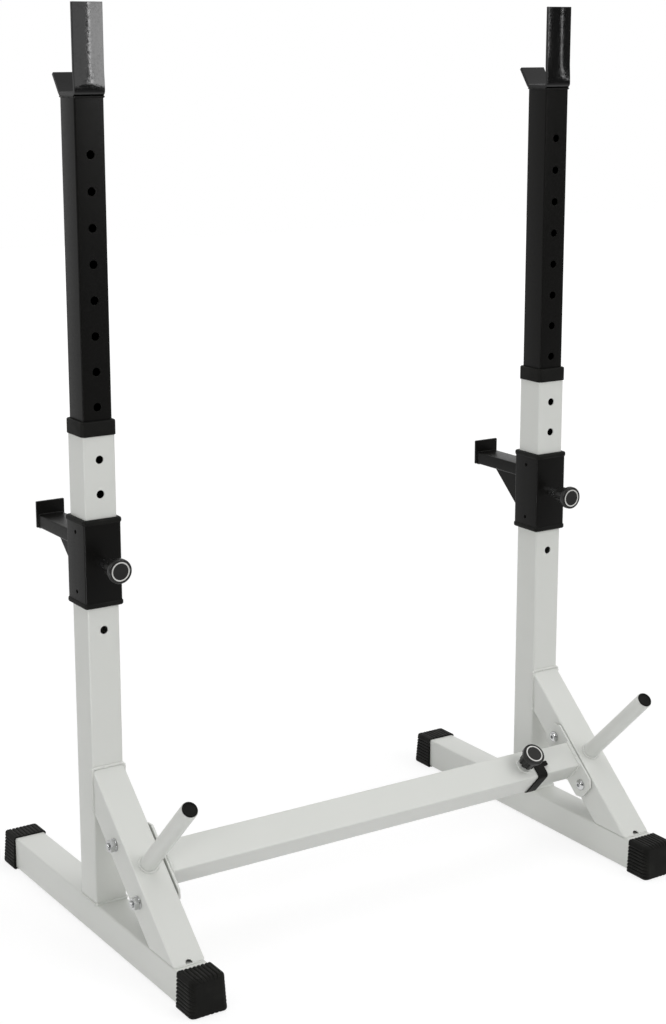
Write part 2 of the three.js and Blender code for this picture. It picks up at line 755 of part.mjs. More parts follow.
function crossbarGroup() {
  const group = slopeGroup();
  group.position.x = -frameSpacing / 2;
  const plunger = plungerGroup('crossbar', -crossbarKnobLap, crossbarPinTravel);
  plunger.position.set(crossbarPin, crossbarStation, bossHeight);
  group.add(crossbarOuterPiece(), crossbarInnerPiece(), crossbarGlidePiece(), crossbarCollarPiece(), plunger);
  return group;
}

// One side frame; inward is +1 on the left frame and -1 on the right

function frameGroup(side, inward) {
  const group = new THREE.Group();
  group.position.x = -inward * frameSpacing / 2;
  group.add(railPiece(`${side}_base_rail`), ...shoePieces(side));
  group.add(uprightPiece(`${side}_upright`), collarPiece(`${side}_upright_collar`));
  group.add(bracePiece(`${side}_brace`), pegGroup(side));
  group.add(postPiece(`${side}_inner_post`), cupPiece(`${side}_bar_cup`), glidePiece(`${side}_post_glide`));
  group.add(sleevePiece(`${side}_carriage_sleeve`));
  group.add(linerPiece(`${side}_liner_upper`, true), linerPiece(`${side}_liner_lower`, false));
  group.add(...armPieces(side));
  const plunger = plungerGroup(side, knobGap, pinTravel);
  plunger.position.set(0, -sleeveFace, pinHeight);
  plunger.rotation.x = Math.PI / 2;
  const slope = slopeGroup();
  slope.add(...jointPieces(side, inward));
  group.add(plunger, slope);
  return group;
}

const stand = new THREE.Group();
stand.add(frameGroup('left', 1), frameGroup('right', -1), crossbarGroup());
stand.position.y = (frontReach - rearReach) / 2;

export default stand;
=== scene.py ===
"""Looks of an adjustable squat stand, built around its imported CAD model.

Every size in this file is in millimetres, in the part's own frame: X runs along the crossbar, the front with
the plate pegs and knobs is -Y, and Z is up from the floor. Meshes are turned to metres as they are finished.
Only the studio's places and sizes are in metres.
"""

import logging
import math
from dataclasses import dataclass
from enum import Enum
from typing import Callable, Iterable, NamedTuple, Sequence

import bmesh
import bpy
from mathutils import Matrix, Vector, noise


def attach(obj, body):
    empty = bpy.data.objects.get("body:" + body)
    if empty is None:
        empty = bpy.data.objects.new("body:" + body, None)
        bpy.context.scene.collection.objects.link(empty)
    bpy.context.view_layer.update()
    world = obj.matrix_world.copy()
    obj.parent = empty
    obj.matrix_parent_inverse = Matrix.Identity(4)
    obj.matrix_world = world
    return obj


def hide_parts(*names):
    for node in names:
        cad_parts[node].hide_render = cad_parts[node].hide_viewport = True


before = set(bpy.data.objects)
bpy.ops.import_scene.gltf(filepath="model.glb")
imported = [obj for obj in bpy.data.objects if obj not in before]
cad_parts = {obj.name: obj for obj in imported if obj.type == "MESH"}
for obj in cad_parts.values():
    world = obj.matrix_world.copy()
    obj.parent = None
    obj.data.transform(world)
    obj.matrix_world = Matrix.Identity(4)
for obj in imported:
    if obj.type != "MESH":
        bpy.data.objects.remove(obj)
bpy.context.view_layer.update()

log = logging.getLogger("squat_stand")

Shape = bmesh.types.BMesh
Edge = bmesh.types.BMEdge
Tree = bpy.types.NodeTree
Socket = bpy.types.NodeSocket
Point = tuple[float, float]
Place = tuple[float, float, float]
Profile = tuple[Point, ...]

METRES = 0.001
# How far a cutter runs past what it cuts, and the length of a drill that passes one wall
OVERRUN = 20.0
DRILL = 8.0
# Corners closer together than this are one corner
MERGE = 0.001
# Heights closer together than this are level
LEVEL = 0.1
CORNER_STEPS = 6
HEXAGON = 6
# Widths of the rounding on a piece's sharp edges: the usual one, and a softer one
RIM = 0.45
SOFT_RIM = 0.5


class Side(Enum):
    """The two base frames, by the sign of their place along X."""

    LEFT = -1
    RIGHT = 1

    @property
    def tag(self) -> str:
        """Start of the names of this side's pieces."""
        return self.name.lower()


class Slot(Enum):
    """Material slots of the record."""

    WHITE = "white_coat"
    BLACK = "black_coat"
    PLASTIC = "black_plastic"
    STEEL = "bright_steel"


# Shapes, in millimetres


def rise_of(edge: Edge) -> float:
    """Returns the height between an edge's ends."""
    return abs(edge.verts[0].co.z - edge.verts[1].co.z)


def is_sharp(edge: Edge) -> bool:
    """Says whether the faces at an edge meet at more than 30 degrees."""
    return edge.calc_face_angle(0.0) > math.radians(30)


def bar(width: float, depth: float, radius: float, length: float) -> Shape:
    """Makes a bar along +Z from the origin, with its long edges rounded.

    Args:
        width: Size along X.
        depth: Size along Y.
        radius: Radius of the long edges.
        length: Size along Z.

    Returns:
        The bar.
    """
    shape = bmesh.new()
    bmesh.ops.create_cube(shape, size=1.0)
    bmesh.ops.scale(shape, vec=(width, depth, length), verts=shape.verts)
    bmesh.ops.translate(shape, vec=(0, 0, length / 2), verts=shape.verts)
    return eased(shape, radius, CORNER_STEPS, lambda edge: rise_of(edge) > length / 2)


def block(width: float, height: float) -> Shape:
    """Makes a large cutter on a square foot."""
    return bar(width, width, 1.0, height)


def tube(width: float, depth: float, wall: float, radius: float, length: float) -> Shape:
    """Makes a rectangular tube along +Z: a bar whose ends are inset by the wall and joined through.

    Args:
        width: Outer size along X.
        depth: Outer size along Y.
        wall: Thickness of the wall.
        radius: Outer radius of the long edges.
        length: Size along Z.

    Returns:
        The tube.
    """
    shape = bar(width, depth, radius, length)
    upright = 0.9
    ends = [face for face in shape.faces if abs(face.normal.z) > upright]
    bmesh.ops.inset_region(shape, faces=ends, thickness=wall, use_even_offset=True)
    loops = [edge for face in ends for edge in face.edges]
    bmesh.ops.delete(shape, geom=ends, context="FACES_ONLY")
    bmesh.ops.bridge_loops(shape, edges=loops)
    bmesh.ops.recalc_face_normals(shape, faces=shape.faces)
    return shape


def rod(diameter: float, length: float, sides: int = 32, start: float = 0.0) -> Shape:
    """Makes a round or many-sided rod along +Z.

    Args:
        diameter: Across the corners.
        length: Size along Z.
        sides: Number of flat sides.
        start: Height of its lower end.

    Returns:
        The rod.
    """
    shape = bmesh.new()
    bmesh.ops.create_cone(shape, cap_ends=True, cap_tris=False, segments=sides, radius1=diameter / 2,
                          radius2=diameter / 2, depth=length)
    bmesh.ops.translate(shape, vec=(0, 0, start + length / 2), verts=shape.verts)
    return shape


def raised(profile: Sequence[Point], height: float) -> list[Point]:
    """Returns a profile's points with a height added."""
    return [(radius, height + rise) for radius, rise in profile]


def disc(bore: float, radius: float, height: float, chamfer: Point) -> list[Point]:
    """Returns the profile of a disc with both rims chamfered by a width and a height."""
    inset, rise = chamfer
    return [(bore, 0), (radius - inset, 0), (radius, rise), (radius, height - rise), (radius - inset, height),
            (bore, height)]


def lathe(profile: Sequence[Point], steps: int = 48) -> Shape:
    """Turns a profile about Z into a closed body.

    Args:
        profile: Radius and height of each corner, from the axis back to the axis or round a ring.
        steps: Faces round the body.

    Returns:
        The turned body.
    """
    shape = bmesh.new()
    corners = [shape.verts.new((radius, 0, height)) for radius, height in profile]
    edges = [shape.edges.new(pair) for pair in zip(corners, corners[1:])]
    if profile[0][0] > 0:
        edges.append(shape.edges.new((corners[-1], corners[0])))
    bmesh.ops.spin(shape, geom=corners + edges, axis=(0, 0, 1), cent=(0, 0, 0), angle=math.tau, steps=steps,
                   use_merge=True)
    bmesh.ops.remove_doubles(shape, verts=shape.verts, dist=MERGE)
    bmesh.ops.recalc_face_normals(shape, faces=shape.faces)
    return shape


def slab(outline: Sequence[Point], thickness: float) -> Shape:
    """Extrudes an outline in XY along +Z.

    Args:
        outline: Corners in order.
        thickness: Size along Z.

    Returns:
        The slab.
    """
    shape = bmesh.new()
    face = shape.faces.new([shape.verts.new((x, y, 0)) for x, y in outline])
    grown = bmesh.ops.extrude_face_region(shape, geom=[face])["geom"]
    upper = [item for item in grown if isinstance(item, bmesh.types.BMVert)]
    bmesh.ops.translate(shape, vec=(0, 0, thickness), verts=upper)
    bmesh.ops.recalc_face_normals(shape, faces=shape.faces)
    return shape


def moved(shape: Shape, *moves: Matrix) -> Shape:
    """Moves a shape by each matrix in turn and returns it."""
    for move in moves:
        bmesh.ops.transform(shape, matrix=move, verts=shape.verts)
    return shape


def at(x: float, y: float, z: float) -> Matrix:
    """Returns a shift."""
    return Matrix.Translation((x, y, z))


def turn(degrees: float, axis: str) -> Matrix:
    """Returns a turn about X, Y or Z."""
    return Matrix.Rotation(math.radians(degrees), 4, axis)


def eased(shape: Shape, offset: float, segments: int, picked: Callable[[Edge], bool]) -> Shape:
    """Rounds edges of a shape.

    Args:
        shape: The shape.
        offset: Distance from each edge at which its rounding starts.
        segments: Faces in each rounding.
        picked: Says which edges.

    Returns:
        The same shape.
    """
    bmesh.ops.bevel(shape, geom=[edge for edge in shape.edges if picked(edge)], offset=offset,
                    offset_type="OFFSET", segments=segments, profile=0.5, affect="EDGES", material=-1)
    return shape


def joined(*shapes: Shape) -> Shape:
    """Puts shapes into one, without joining their surfaces, and returns it."""
    whole = bmesh.new()
    for shape in shapes:
        part = bpy.data.meshes.new("part")
        shape.to_mesh(part)
        shape.free()
        whole.from_mesh(part)
        bpy.data.meshes.remove(part)
    return whole


def evaluated(thing: bpy.types.Object) -> bpy.types.Mesh:
    """Returns a new mesh of an object with its modifiers applied."""
    graph = bpy.context.evaluated_depsgraph_get()
    return bpy.data.meshes.new_from_object(thing.evaluated_get(graph), depsgraph=graph)


def holder(shape: Shape, name: str) -> bpy.types.Object:
    """Puts a shape into a new object of the scene and frees it."""
    mesh = bpy.data.meshes.new(name)
    shape.to_mesh(mesh)
    shape.free()
    thing = bpy.data.objects.new(name, mesh)
    bpy.context.scene.collection.objects.link(thing)
    return thing


def carved(shape: Shape, *cutters: Shape, operation: str = "DIFFERENCE") -> Shape:
    """Cuts shapes out of a shape, or joins them to it.

    Args:
        shape: The body.
        cutters: Closed shapes.
        operation: DIFFERENCE, UNION or INTERSECT.

    Returns:
        The new shape. The ones passed in are freed.
    """
    body = holder(shape, "body")
    tool = holder(joined(*cutters), "tool")
    boolean = body.modifiers.new("boolean", "BOOLEAN")
    boolean.object = tool
    boolean.operation = operation
    boolean.solver = "EXACT"
    boolean.use_self = True
    mesh = evaluated(body)
    result = bmesh.new()
    result.from_mesh(mesh)
    bmesh.ops.remove_doubles(result, verts=result.verts, dist=MERGE)
    bmesh.ops.dissolve_degenerate(result, dist=MERGE, edges=result.edges)
    for spare in (body, tool):
        data = spare.data
        bpy.data.objects.remove(spare)
        bpy.data.meshes.remove(data)
    bpy.data.meshes.remove(mesh)
    return result


def front_drills(width: float, hole: float, heights: Iterable[float]) -> list[Shape]:
    """Returns drills that pass the front wall of an upright square tube at some heights."""
    depth = (DRILL - width) / 2
    return [moved(rod(hole, DRILL), turn(90, "X"), at(0, depth, height)) for height in heights]


def bead(path: Sequence[Vector], radius: float, seed: int, closed: bool = True) -> Shape:
    """Lays a weld bead along a path: a round cord whose thickness swells once per ripple.

    Args:
        path: Corners of the path.
        radius: Radius of the bead.
        seed: Start of its small differences.
        closed: Whether the path returns to its start.

    Returns:
        The bead.
    """
    # Half the distance between ripples, how narrow the bead gets between them, and how uneven it is
    half_ripple, narrow, unevenness = 2.2, 0.7, 0.3
    # Where the unevenness is read from the noise
    seed_step, ripple_step, row = 7.3, 0.37, 0.5
    corners = list(path) + ([path[0]] if closed else [])
    spots: list[Vector] = []
    for start, end in zip(corners, corners[1:]):
        count = max(1, round((end - start).length / half_ripple))
        spots += [start.lerp(end, index / count) for index in range(count)]
    if not closed:
        spots.append(corners[-1])
    curve = bpy.data.curves.new("bead", "CURVE")
    curve.dimensions = "3D"
    curve.bevel_depth = radius
    curve.bevel_resolution = 2
    curve.use_fill_caps = True
    spline = curve.splines.new("POLY")
    spline.points.add(len(spots) - 1)
    spline.use_cyclic_u = closed
    for index, spot in enumerate(spots):
        drift = noise.noise(Vector((seed * seed_step, index * ripple_step, row)))
        spline.points[index].co = (*spot, 1)
        spline.points[index].radius = (1.0 if index % 2 else narrow) * (1 + unevenness * drift)
    carrier = bpy.data.objects.new("bead", curve)
    bpy.context.scene.collection.objects.link(carrier)
    mesh = evaluated(carrier)
    shape = bmesh.new()
    shape.from_mesh(mesh)
    bmesh.ops.remove_doubles(shape, verts=shape.verts, dist=MERGE)
    bmesh.ops.recalc_face_normals(shape, faces=shape.faces)
    bpy.data.objects.remove(carrier)
    bpy.data.curves.remove(curve)
    bpy.data.meshes.remove(mesh)
    return shape


def square_path(width: float, depth: float, radius: float) -> list[Vector]:
    """Returns the points of a rounded rectangle about the origin, in XY.

    Args:
        width: Size along X.
        depth: Size along Y.
        radius: Radius of the corners.

    Returns:
        The points in order.
    """
    points = []
    steps = 4
    for quarter, (side_x, side_y) in enumerate(((1, 1), (-1, 1), (-1, -1), (1, -1))):
        centre = Vector((side_x * (width / 2 - radius), side_y * (depth / 2 - radius), 0))
        for step in range(steps + 1):
            angle = math.radians(90 * quarter + 90 * step / steps)
            points.append(centre + radius * Vector((math.cos(angle), math.sin(angle), 0)))
    return points


def ring_path(radius: float, steps: int = 40) -> list[Vector]:
    """Returns the points of a circle about Z."""
    return [radius * Vector((math.cos(math.tau * step / steps), math.sin(math.tau * step / steps), 0))
            for step in range(steps)]


# Materials


def linear(hex_colour: str) -> tuple[float, float, float, float]:
    """Turns an sRGB hex value to a linear colour.

    Args:
        hex_colour: Six hex digits.

    Returns:
        Red, green, blue and alpha.
    """
    parts = [int(hex_colour[index:index + 2], 16) / 255 for index in (0, 2, 4)]
    values = [part / 12.92 if part <= 0.04045 else ((part + 0.055) / 1.055) ** 2.4 for part in parts]
    return (*values, 1.0)


def per_metre(size: float) -> float:
    """Returns the texture scale at which one unit of a pattern spans a size in millimetres."""
    return 1 / (size * METRES)


def add_node(tree: Tree, kind: str, settings: dict | None = None,
             inputs: dict | None = None) -> bpy.types.Node:
    """Adds a node with its settings and inputs.

    Args:
        tree: The node tree.
        kind: The node's type, without its usual start.
        settings: Properties by name.
        inputs: A value, or the socket to link, by input name or number.

    Returns:
        The node.
    """
    node = tree.nodes.new(f"ShaderNode{kind}")
    for name, value in (settings or {}).items():
        setattr(node, name, value)
    for name, value in (inputs or {}).items():
        if isinstance(value, Socket):
            tree.links.new(value, node.inputs[name])
        else:
            node.inputs[name].default_value = value
    return node


def new_material(name: str) -> tuple[bpy.types.Material, Tree, Socket]:
    """Makes a material and returns it with its empty tree and the Object coordinates in it."""
    material = bpy.data.materials.new(name)
    material.use_nodes = True
    tree = material.node_tree
    tree.nodes.clear()
    return material, tree, add_node(tree, "TexCoord").outputs["Object"]


def clouds(tree: Tree, place: Socket, size: float, detail: float, roughness: float = 0.5) -> Socket:
    """Returns a noise pattern whose forms are about a size in millimetres."""
    return add_node(tree, "TexNoise", {}, {"Vector": place, "Scale": per_metre(size), "Detail": detail,
                                           "Roughness": roughness}).outputs["Fac"]


def spread(tree: Tree, value: Socket, low: float, high: float, start: float = 0.3,
           stop: float = 0.7) -> Socket:
    """Returns a value spread between two levels, which it reaches at start and stop."""
    return add_node(tree, "MapRange", {}, {"Value": value, "From Min": start, "From Max": stop, "To Min": low,
                                           "To Max": high}).outputs["Result"]


def tone(tree: Tree, share: Socket, colour: str, other: str) -> Socket:
    """Returns a colour mixed from two hex values."""
    return add_node(tree, "Mix", {"data_type": "RGBA"}, {"Factor": share, "A": linear(colour),
                                                         "B": linear(other)}).outputs["Result"]


def maths(tree: Tree, operation: str, *values: float | Socket) -> Socket:
    """Returns the result of a sum on values or sockets."""
    return add_node(tree, "Math", {"operation": operation}, dict(enumerate(values))).outputs[0]


def surface(tree: Tree, inputs: dict, height: Socket, strength: float, depth: float) -> None:
    """Ends a material with a principled surface on a relief.

    Args:
        tree: The node tree.
        inputs: The surface's inputs.
        height: The pattern that raises it.
        strength: Share of the relief that shows.
        depth: Its depth in millimetres.
    """
    relief = add_node(tree, "Bump", {}, {"Strength": strength, "Distance": depth * METRES, "Height": height})
    shader = add_node(tree, "BsdfPrincipled", {}, inputs | {"Normal": relief.outputs["Normal"]})
    add_node(tree, "OutputMaterial", {}, {"Surface": shader.outputs["BSDF"]})


class Finish(NamedTuple):
    """A material with the record's slot for it."""

    material: bpy.types.Material
    slot: Slot


@dataclass(frozen=True)
class PowderCoat:
    """Powder coat baked on steel tube: satin paint with a faint orange peel that also varies its gloss, and
    slow changes of tone.
    """

    name: str
    colour: str
    shade: str
    roughness: float
    specular: float
    peel: float
    relief: float
    smoother: float = 0.04
    duller: float = 0.05
    grain: float = 0.9
    grain_share: float = 0.25
    cloud: float = 170.0
    ior: float = 1.5

    def build(self, slot: Slot) -> Finish:
        """Builds the finish.

        Args:
            slot: The record's slot.

        Returns:
            The finish: cloudy colour, peel in the relief, and a roughness that follows the peel.
        """
        material, tree, place = new_material(self.name)
        # Slow clouds: the coat's thickness drifts over a hand's width, so the tone is never quite even
        drift = clouds(tree, place, self.cloud, detail=3.0, roughness=0.55)
        # Orange peel: the real waves are 1 to 2 mm, drawn a little coarser so that they show in the render
        peel = clouds(tree, place, self.peel, detail=2.0, roughness=0.45)
        grit = clouds(tree, place, self.grain, detail=1.0)
        surface(tree, {"Base Color": tone(tree, drift, self.colour, self.shade),
                       "Roughness": spread(tree, peel, self.roughness - self.smoother,
                                           self.roughness + self.duller),
                       "IOR": self.ior, "Specular IOR Level": self.specular},
                maths(tree, "MULTIPLY_ADD", grit, self.grain_share, peel), strength=0.6, depth=self.relief)
        return Finish(material, slot)


@dataclass(frozen=True)
class MouldedPlastic:
    """Moulded nylon or polyethylene: a spark-eroded grain from the mould, and lighter rubbed patches."""

    name: str
    colour: str
    rubbed: str
    roughness: float
    specular: float
    grain: float
    relief: float
    swing: float = 0.06
    patch: float = 28.0
    ior: float = 1.5

    def build(self, slot: Slot) -> Finish:
        """Builds the finish.

        Args:
            slot: The record's slot.

        Returns:
            The finish: fine grain in the relief, with lighter and glossier patches where it is rubbed.
        """
        material, tree, place = new_material(self.name)
        # Mould grain: real pits of 0.2 mm, drawn coarser so that the surface reads as grained
        pits = add_node(tree, "TexVoronoi", {"feature": "SMOOTH_F1"},
                        {"Vector": place, "Scale": per_metre(self.grain), "Smoothness": 0.6})
        patches = clouds(tree, place, self.patch, detail=3.0, roughness=0.6)
        share = spread(tree, patches, 0.0, 1.0, start=0.45)
        surface(tree, {"Base Color": tone(tree, share, self.colour, self.rubbed),
                       "Roughness": spread(tree, patches, self.roughness + self.swing,
                                           self.roughness - self.swing),
                       "IOR": self.ior, "Specular IOR Level": self.specular},
                pits.outputs["Distance"], strength=0.5, depth=self.relief)
        return Finish(material, slot)


@dataclass(frozen=True)
class ZincPlate:
    """Bright zinc plate on turned or cold-headed steel: mirror-like, with fine marks from the tools."""

    name: str
    colour: str
    dull: str
    roughness: float
    scratch: float
    relief: float
    smoother: float = 0.06
    duller: float = 0.08
    film: float = 9.0
    stretch: Place = (0.25, 0.25, 1.0)

    def build(self, slot: Slot) -> Finish:
        """Builds the finish.

        Args:
            slot: The record's slot.

        Returns:
            The finish: metal with stretched tool marks and a cloudy passivation film.
        """
        material, tree, place = new_material(self.name)
        # Tool marks run round the parts, so the pattern is long along X and Y and short along Z
        stretched = add_node(tree, "Mapping", {}, {"Vector": place, "Scale": self.stretch}).outputs["Vector"]
        marks = clouds(tree, stretched, self.scratch, detail=3.0)
        film = clouds(tree, place, self.film, detail=2.0)
        surface(tree, {"Base Color": tone(tree, film, self.colour, self.dull), "Metallic": 1.0,
                       "Roughness": spread(tree, marks, self.roughness - self.smoother,
                                           self.roughness + self.duller)},
                marks, strength=0.4, depth=self.relief)
        return Finish(material, slot)


@dataclass(frozen=True)
class Finishes:
    """The finishes of the stand, built once and shared."""

    white: Finish
    black: Finish
    enamel: Finish
    plastic: Finish
    grip: Finish
    zinc: Finish
    print_white: Finish

    @classmethod
    def build(cls) -> "Finishes":
        """Builds every finish.

        Returns:
            The set of finishes.
        """
        white = PowderCoat("polyester_powder_coat_white", "dcddd9", "d6d8d3", roughness=0.34, specular=0.5,
                           peel=3.2, relief=0.014)
        black = PowderCoat("epoxy_powder_coat_black", "0a0a09", "0e0d0b", roughness=0.34, specular=0.14,
                           peel=2.6, relief=0.025)
        enamel = PowderCoat("gloss_powder_coat_black", "080808", "0c0c0c", roughness=0.1, specular=0.4,
                            peel=3.2, relief=0.08, grain=2.0)
        plastic = MouldedPlastic("moulded_nylon_black", "11110f", "171714", roughness=0.6, specular=0.13,
                                 grain=1.1, relief=0.05)
        grip = MouldedPlastic("polished_nylon_black", "1b1b1a", "232322", roughness=0.34, specular=0.3,
                              grain=1.3, relief=0.015)
        zinc = ZincPlate("zinc_plated_steel", "d2d3d4", "bcbdbc", roughness=0.2, scratch=1.6, relief=0.03)
        ink = MouldedPlastic("pad_printed_ink_white", "dcdcd9", "c4c4c0", roughness=0.5, specular=0.4,
                             grain=1.4, relief=0.03)
        return cls(white.build(Slot.WHITE), black.build(Slot.BLACK), enamel.build(Slot.BLACK),
                   plastic.build(Slot.PLASTIC), grip.build(Slot.PLASTIC), zinc.build(Slot.STEEL),
                   ink.build(Slot.WHITE))


# Pieces


@dataclass(frozen=True)
class Layout:
    """What the frames share: their places, the slope of the braces, and the tube they are made of."""

    frame_x: float = 408.0
    middle_y: float = 5.5
    rail_top: float = 52.3
    upright_bottom: float = 52.6
    brace_rise: float = 212.0
    brace_run: float = 241.0
    crossbar_from_top: float = 158.0
    tube: float = 50.0
    inner_tube: float = 45.0
    wall: float = 2.0
    radius: float = 3.0
    seam: float = 0.3
    hole: float = 12.0
    pitch: float = 50.0

    @property
    def angle(self) -> float:
        """Slope of the brace, in degrees."""
        return math.degrees(math.atan2(self.brace_rise, self.brace_run))

    @property
    def slope_length(self) -> float:
        """Length of the brace's upper face."""
        return math.hypot(self.brace_rise, self.brace_run)

    @property
    def brace_top(self) -> float:
        """Height at which the brace's upper face meets the upright."""
        return self.rail_top + self.brace_rise

    @property
    def slope(self) -> Matrix:
        """Frame on the brace's upper face, seen from its upright: +Y up the slope, +Z out of the face."""
        return at(0, -self.tube / 2, self.brace_top) @ turn(self.angle, "X")

    def axis(self, side: Side) -> Matrix:
        """Returns the frame on an upright's axis, on the floor."""
        return at(side.value * self.frame_x, self.middle_y, 0)

    def stock(self, length: float) -> Shape:
        """Returns a length of frame tube."""
        return tube(self.tube, self.tube, self.wall, self.radius, length)

    def fitted(self, length: float) -> Shape:
        """Returns the space that a frame tube takes in a shoe or collar."""
        cavity = self.tube + 2 * self.seam
        return bar(cavity, cavity, self.radius, length)


LAYOUT = Layout()


@dataclass(frozen=True)
class Collar:
    """A plastic bush over the end of a frame tube, with an opening for the inner tube."""

    across: float
    radius: float
    skirt: float
    rim: float
    ease: float
    ease_steps: int
    opening: float = 45.8

    @property
    def height(self) -> float:
        """Full height."""
        return self.skirt + self.rim

    def build(self) -> Shape:
        """Makes the bush on the origin, with its mouth down.

        Returns:
            The bush.
        """
        shape = bar(self.across, self.across, self.radius, self.height)
        eased(shape, self.ease, self.ease_steps,
              lambda edge: min(vert.co.z for vert in edge.verts) > self.height - LEVEL)
        mouth = moved(LAYOUT.fitted(self.skirt + OVERRUN), at(0, 0, -OVERRUN))
        through = moved(bar(self.opening, self.opening, LAYOUT.wall, self.height + 2 * OVERRUN),
                        at(0, 0, -OVERRUN))
        return carved(shape, carved(mouth, through, operation="UNION"))


@dataclass(frozen=True)
class Fastener:
    """A button-head bolt with a hexagon socket, and its nut on a washer."""

    tail_length: float = 13.0
    tail: Profile = ((0, 0), (4.2, 0), (4.95, 0.9))
    head: Profile = ((4.95, 0), (8.8, 0), (9.0, 0.25), (9.0, 1.0), (8.5, 2.4), (7.4, 3.9), (5.9, 4.95),
                     (4.3, 5.4), (3.9, 5.5), (0, 5.5))
    socket: float = 6.9
    socket_depth: float = 6.0
    socket_floor: float = 2.5
    nut: float = 19.63
    nut_height: float = 8.0
    nut_radius: float = 9.9
    nut_chamfer: Point = (1.3, 0.75)
    thread: float = 10.6
    washer: float = 2.0
    washer_bore: float = 5.4
    washer_radius: float = 10.0
    washer_chamfer: Point = (0.3, 0.3)

    def bolt(self, seat: float, half: float) -> Shape:
        """Makes the bolt.

        Args:
            seat: Height of the underside of its head.
            half: Half the width of the tube that it passes.

        Returns:
            The bolt, along Z.
        """
        end = -(half + LAYOUT.seam + self.tail_length)
        body = lathe(raised(self.tail, end) + raised(self.head, seat))
        return carved(body, rod(self.socket, self.socket_depth, HEXAGON, seat + self.socket_floor))

    def nut_on_washer(self, half: float) -> Shape:
        """Makes the chamfered nut on its washer.

        Args:
            half: Half the width of the tube that it is tightened on.

        Returns:
            Nut and washer, along -Z.
        """
        hexagon = rod(self.nut, self.nut_height, HEXAGON)
        rounded = lathe(disc(0, self.nut_radius, self.nut_height, self.nut_chamfer))
        thread = rod(self.thread, self.nut_height + 2 * self.washer, start=-self.washer)
        body = carved(carved(hexagon, rounded, operation="INTERSECT"), thread)
        washer = lathe(disc(self.washer_bore, self.washer_radius, self.washer, self.washer_chamfer))
        return moved(joined(moved(body, at(0, 0, self.washer)), washer), at(0, 0, half + LAYOUT.seam),
                     turn(180, "X"))


@dataclass(frozen=True)
class Weld:
    """The bead round a tube's end: its radius, its seed, and how its path differs from the tube's edge."""

    radius: float
    seed: int
    wider: float = 0.0
    taller: float = 0.0
    rounder: float = 1.0
    lift: float = 0.0

    def ring(self, radius: float) -> Shape:
        """Lays the bead round a round tube of a radius, in XY."""
        return bead(ring_path(radius + self.wider), self.radius, self.seed)

    def lay(self, width: float, height: float, corner: float) -> Shape:
        """Lays the bead round a rectangular tube, in XY.

        Args:
            width: The tube's size along X.
            height: The tube's size along Y.
            corner: Radius of the tube's corners.

        Returns:
            The bead, raised by its lift.
        """
        path = square_path(width + self.wider, height + self.taller, corner + self.rounder)
        return moved(bead(path, self.radius, self.seed), at(0, 0, self.lift))


@dataclass
class Assembly:
    """A sub-assembly on one body: it turns shapes into finished pieces that ride on that body."""

    finishes: Finishes
    body: str

    def add(self, name: str, shape: Shape, finish: Finish, replaces: Iterable[str] = (),
            place: Matrix = Matrix.Identity(4), rim: float = RIM, body: str = "") -> None:
        """Finishes a shape as a piece of the scene.

        Args:
            name: Name of the piece.
            shape: Its shape, in millimetres.
            finish: Its finish.
            replaces: CAD nodes that it stands for.
            place: Where the shape's own frame lies.
            rim: Width of the rounding on its sharp edges, or 0 for none.
            body: The body it rides on, where that isn't the assembly's own.
        """
        rim_angle, crease_angle = 32, 45
        material, slot = finish
        moved(shape, place, Matrix.Scale(METRES, 4))
        thing = holder(shape, name)
        thing.data.materials.append(material)
        thing.data.shade_smooth()
        if rim:
            softened = thing.modifiers.new("softened", "BEVEL")
            softened.width = rim * METRES
            softened.segments = 2
            softened.limit_method = "ANGLE"
            softened.angle_limit = math.radians(rim_angle)
            softened.harden_normals = True
        else:
            thing.data.set_sharp_from_angle(angle=math.radians(crease_angle))
            thing.modifiers.new("weighted", "WEIGHTED_NORMAL").keep_sharp = True
        settled = evaluated(thing)
        thing.modifiers.clear()
        spare = thing.data
        thing.data = settled
        settled.name = name
        bpy.data.meshes.remove(spare)
        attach(thing, body or self.body)
        if replaces:
            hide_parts(*replaces)
        log.info("%s: %d faces, on %s", name, len(thing.data.polygons), body or self.body)

    def dress(self, node: str, finish: Finish) -> None:
        """Gives a CAD node that stays in the scene a better finish."""
        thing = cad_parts[node]
        thing.data.materials.clear()
        thing.data.materials.append(finish.material)
        log.info("%s: kept from the CAD model", node)


@dataclass
class SideAssembly(Assembly):
    """A sub-assembly of one side: its pieces bear the side's name and lie in the frame of its upright."""

    side: Side

    def piece(self, name: str, shape: Shape, finish: Finish, node: str = "",
              place: Matrix = Matrix.Identity(4), rim: float = RIM) -> None:
        """Adds a piece of this side.

        Args:
            name: Name of the piece, without the side.
            shape: Its shape, in millimetres.
            finish: Its finish.
            node: CAD node that it stands for, without the side.
            place: Where it lies, seen from the upright's axis.
            rim: Width of the rounding on its sharp edges, or 0 for none.
        """
        nodes = [f"{self.side.tag}_{node}"] if node else ()
        self.add(f"{self.side.tag}_{name}", shape, finish, nodes, LAYOUT.axis(self.side) @ place, rim)


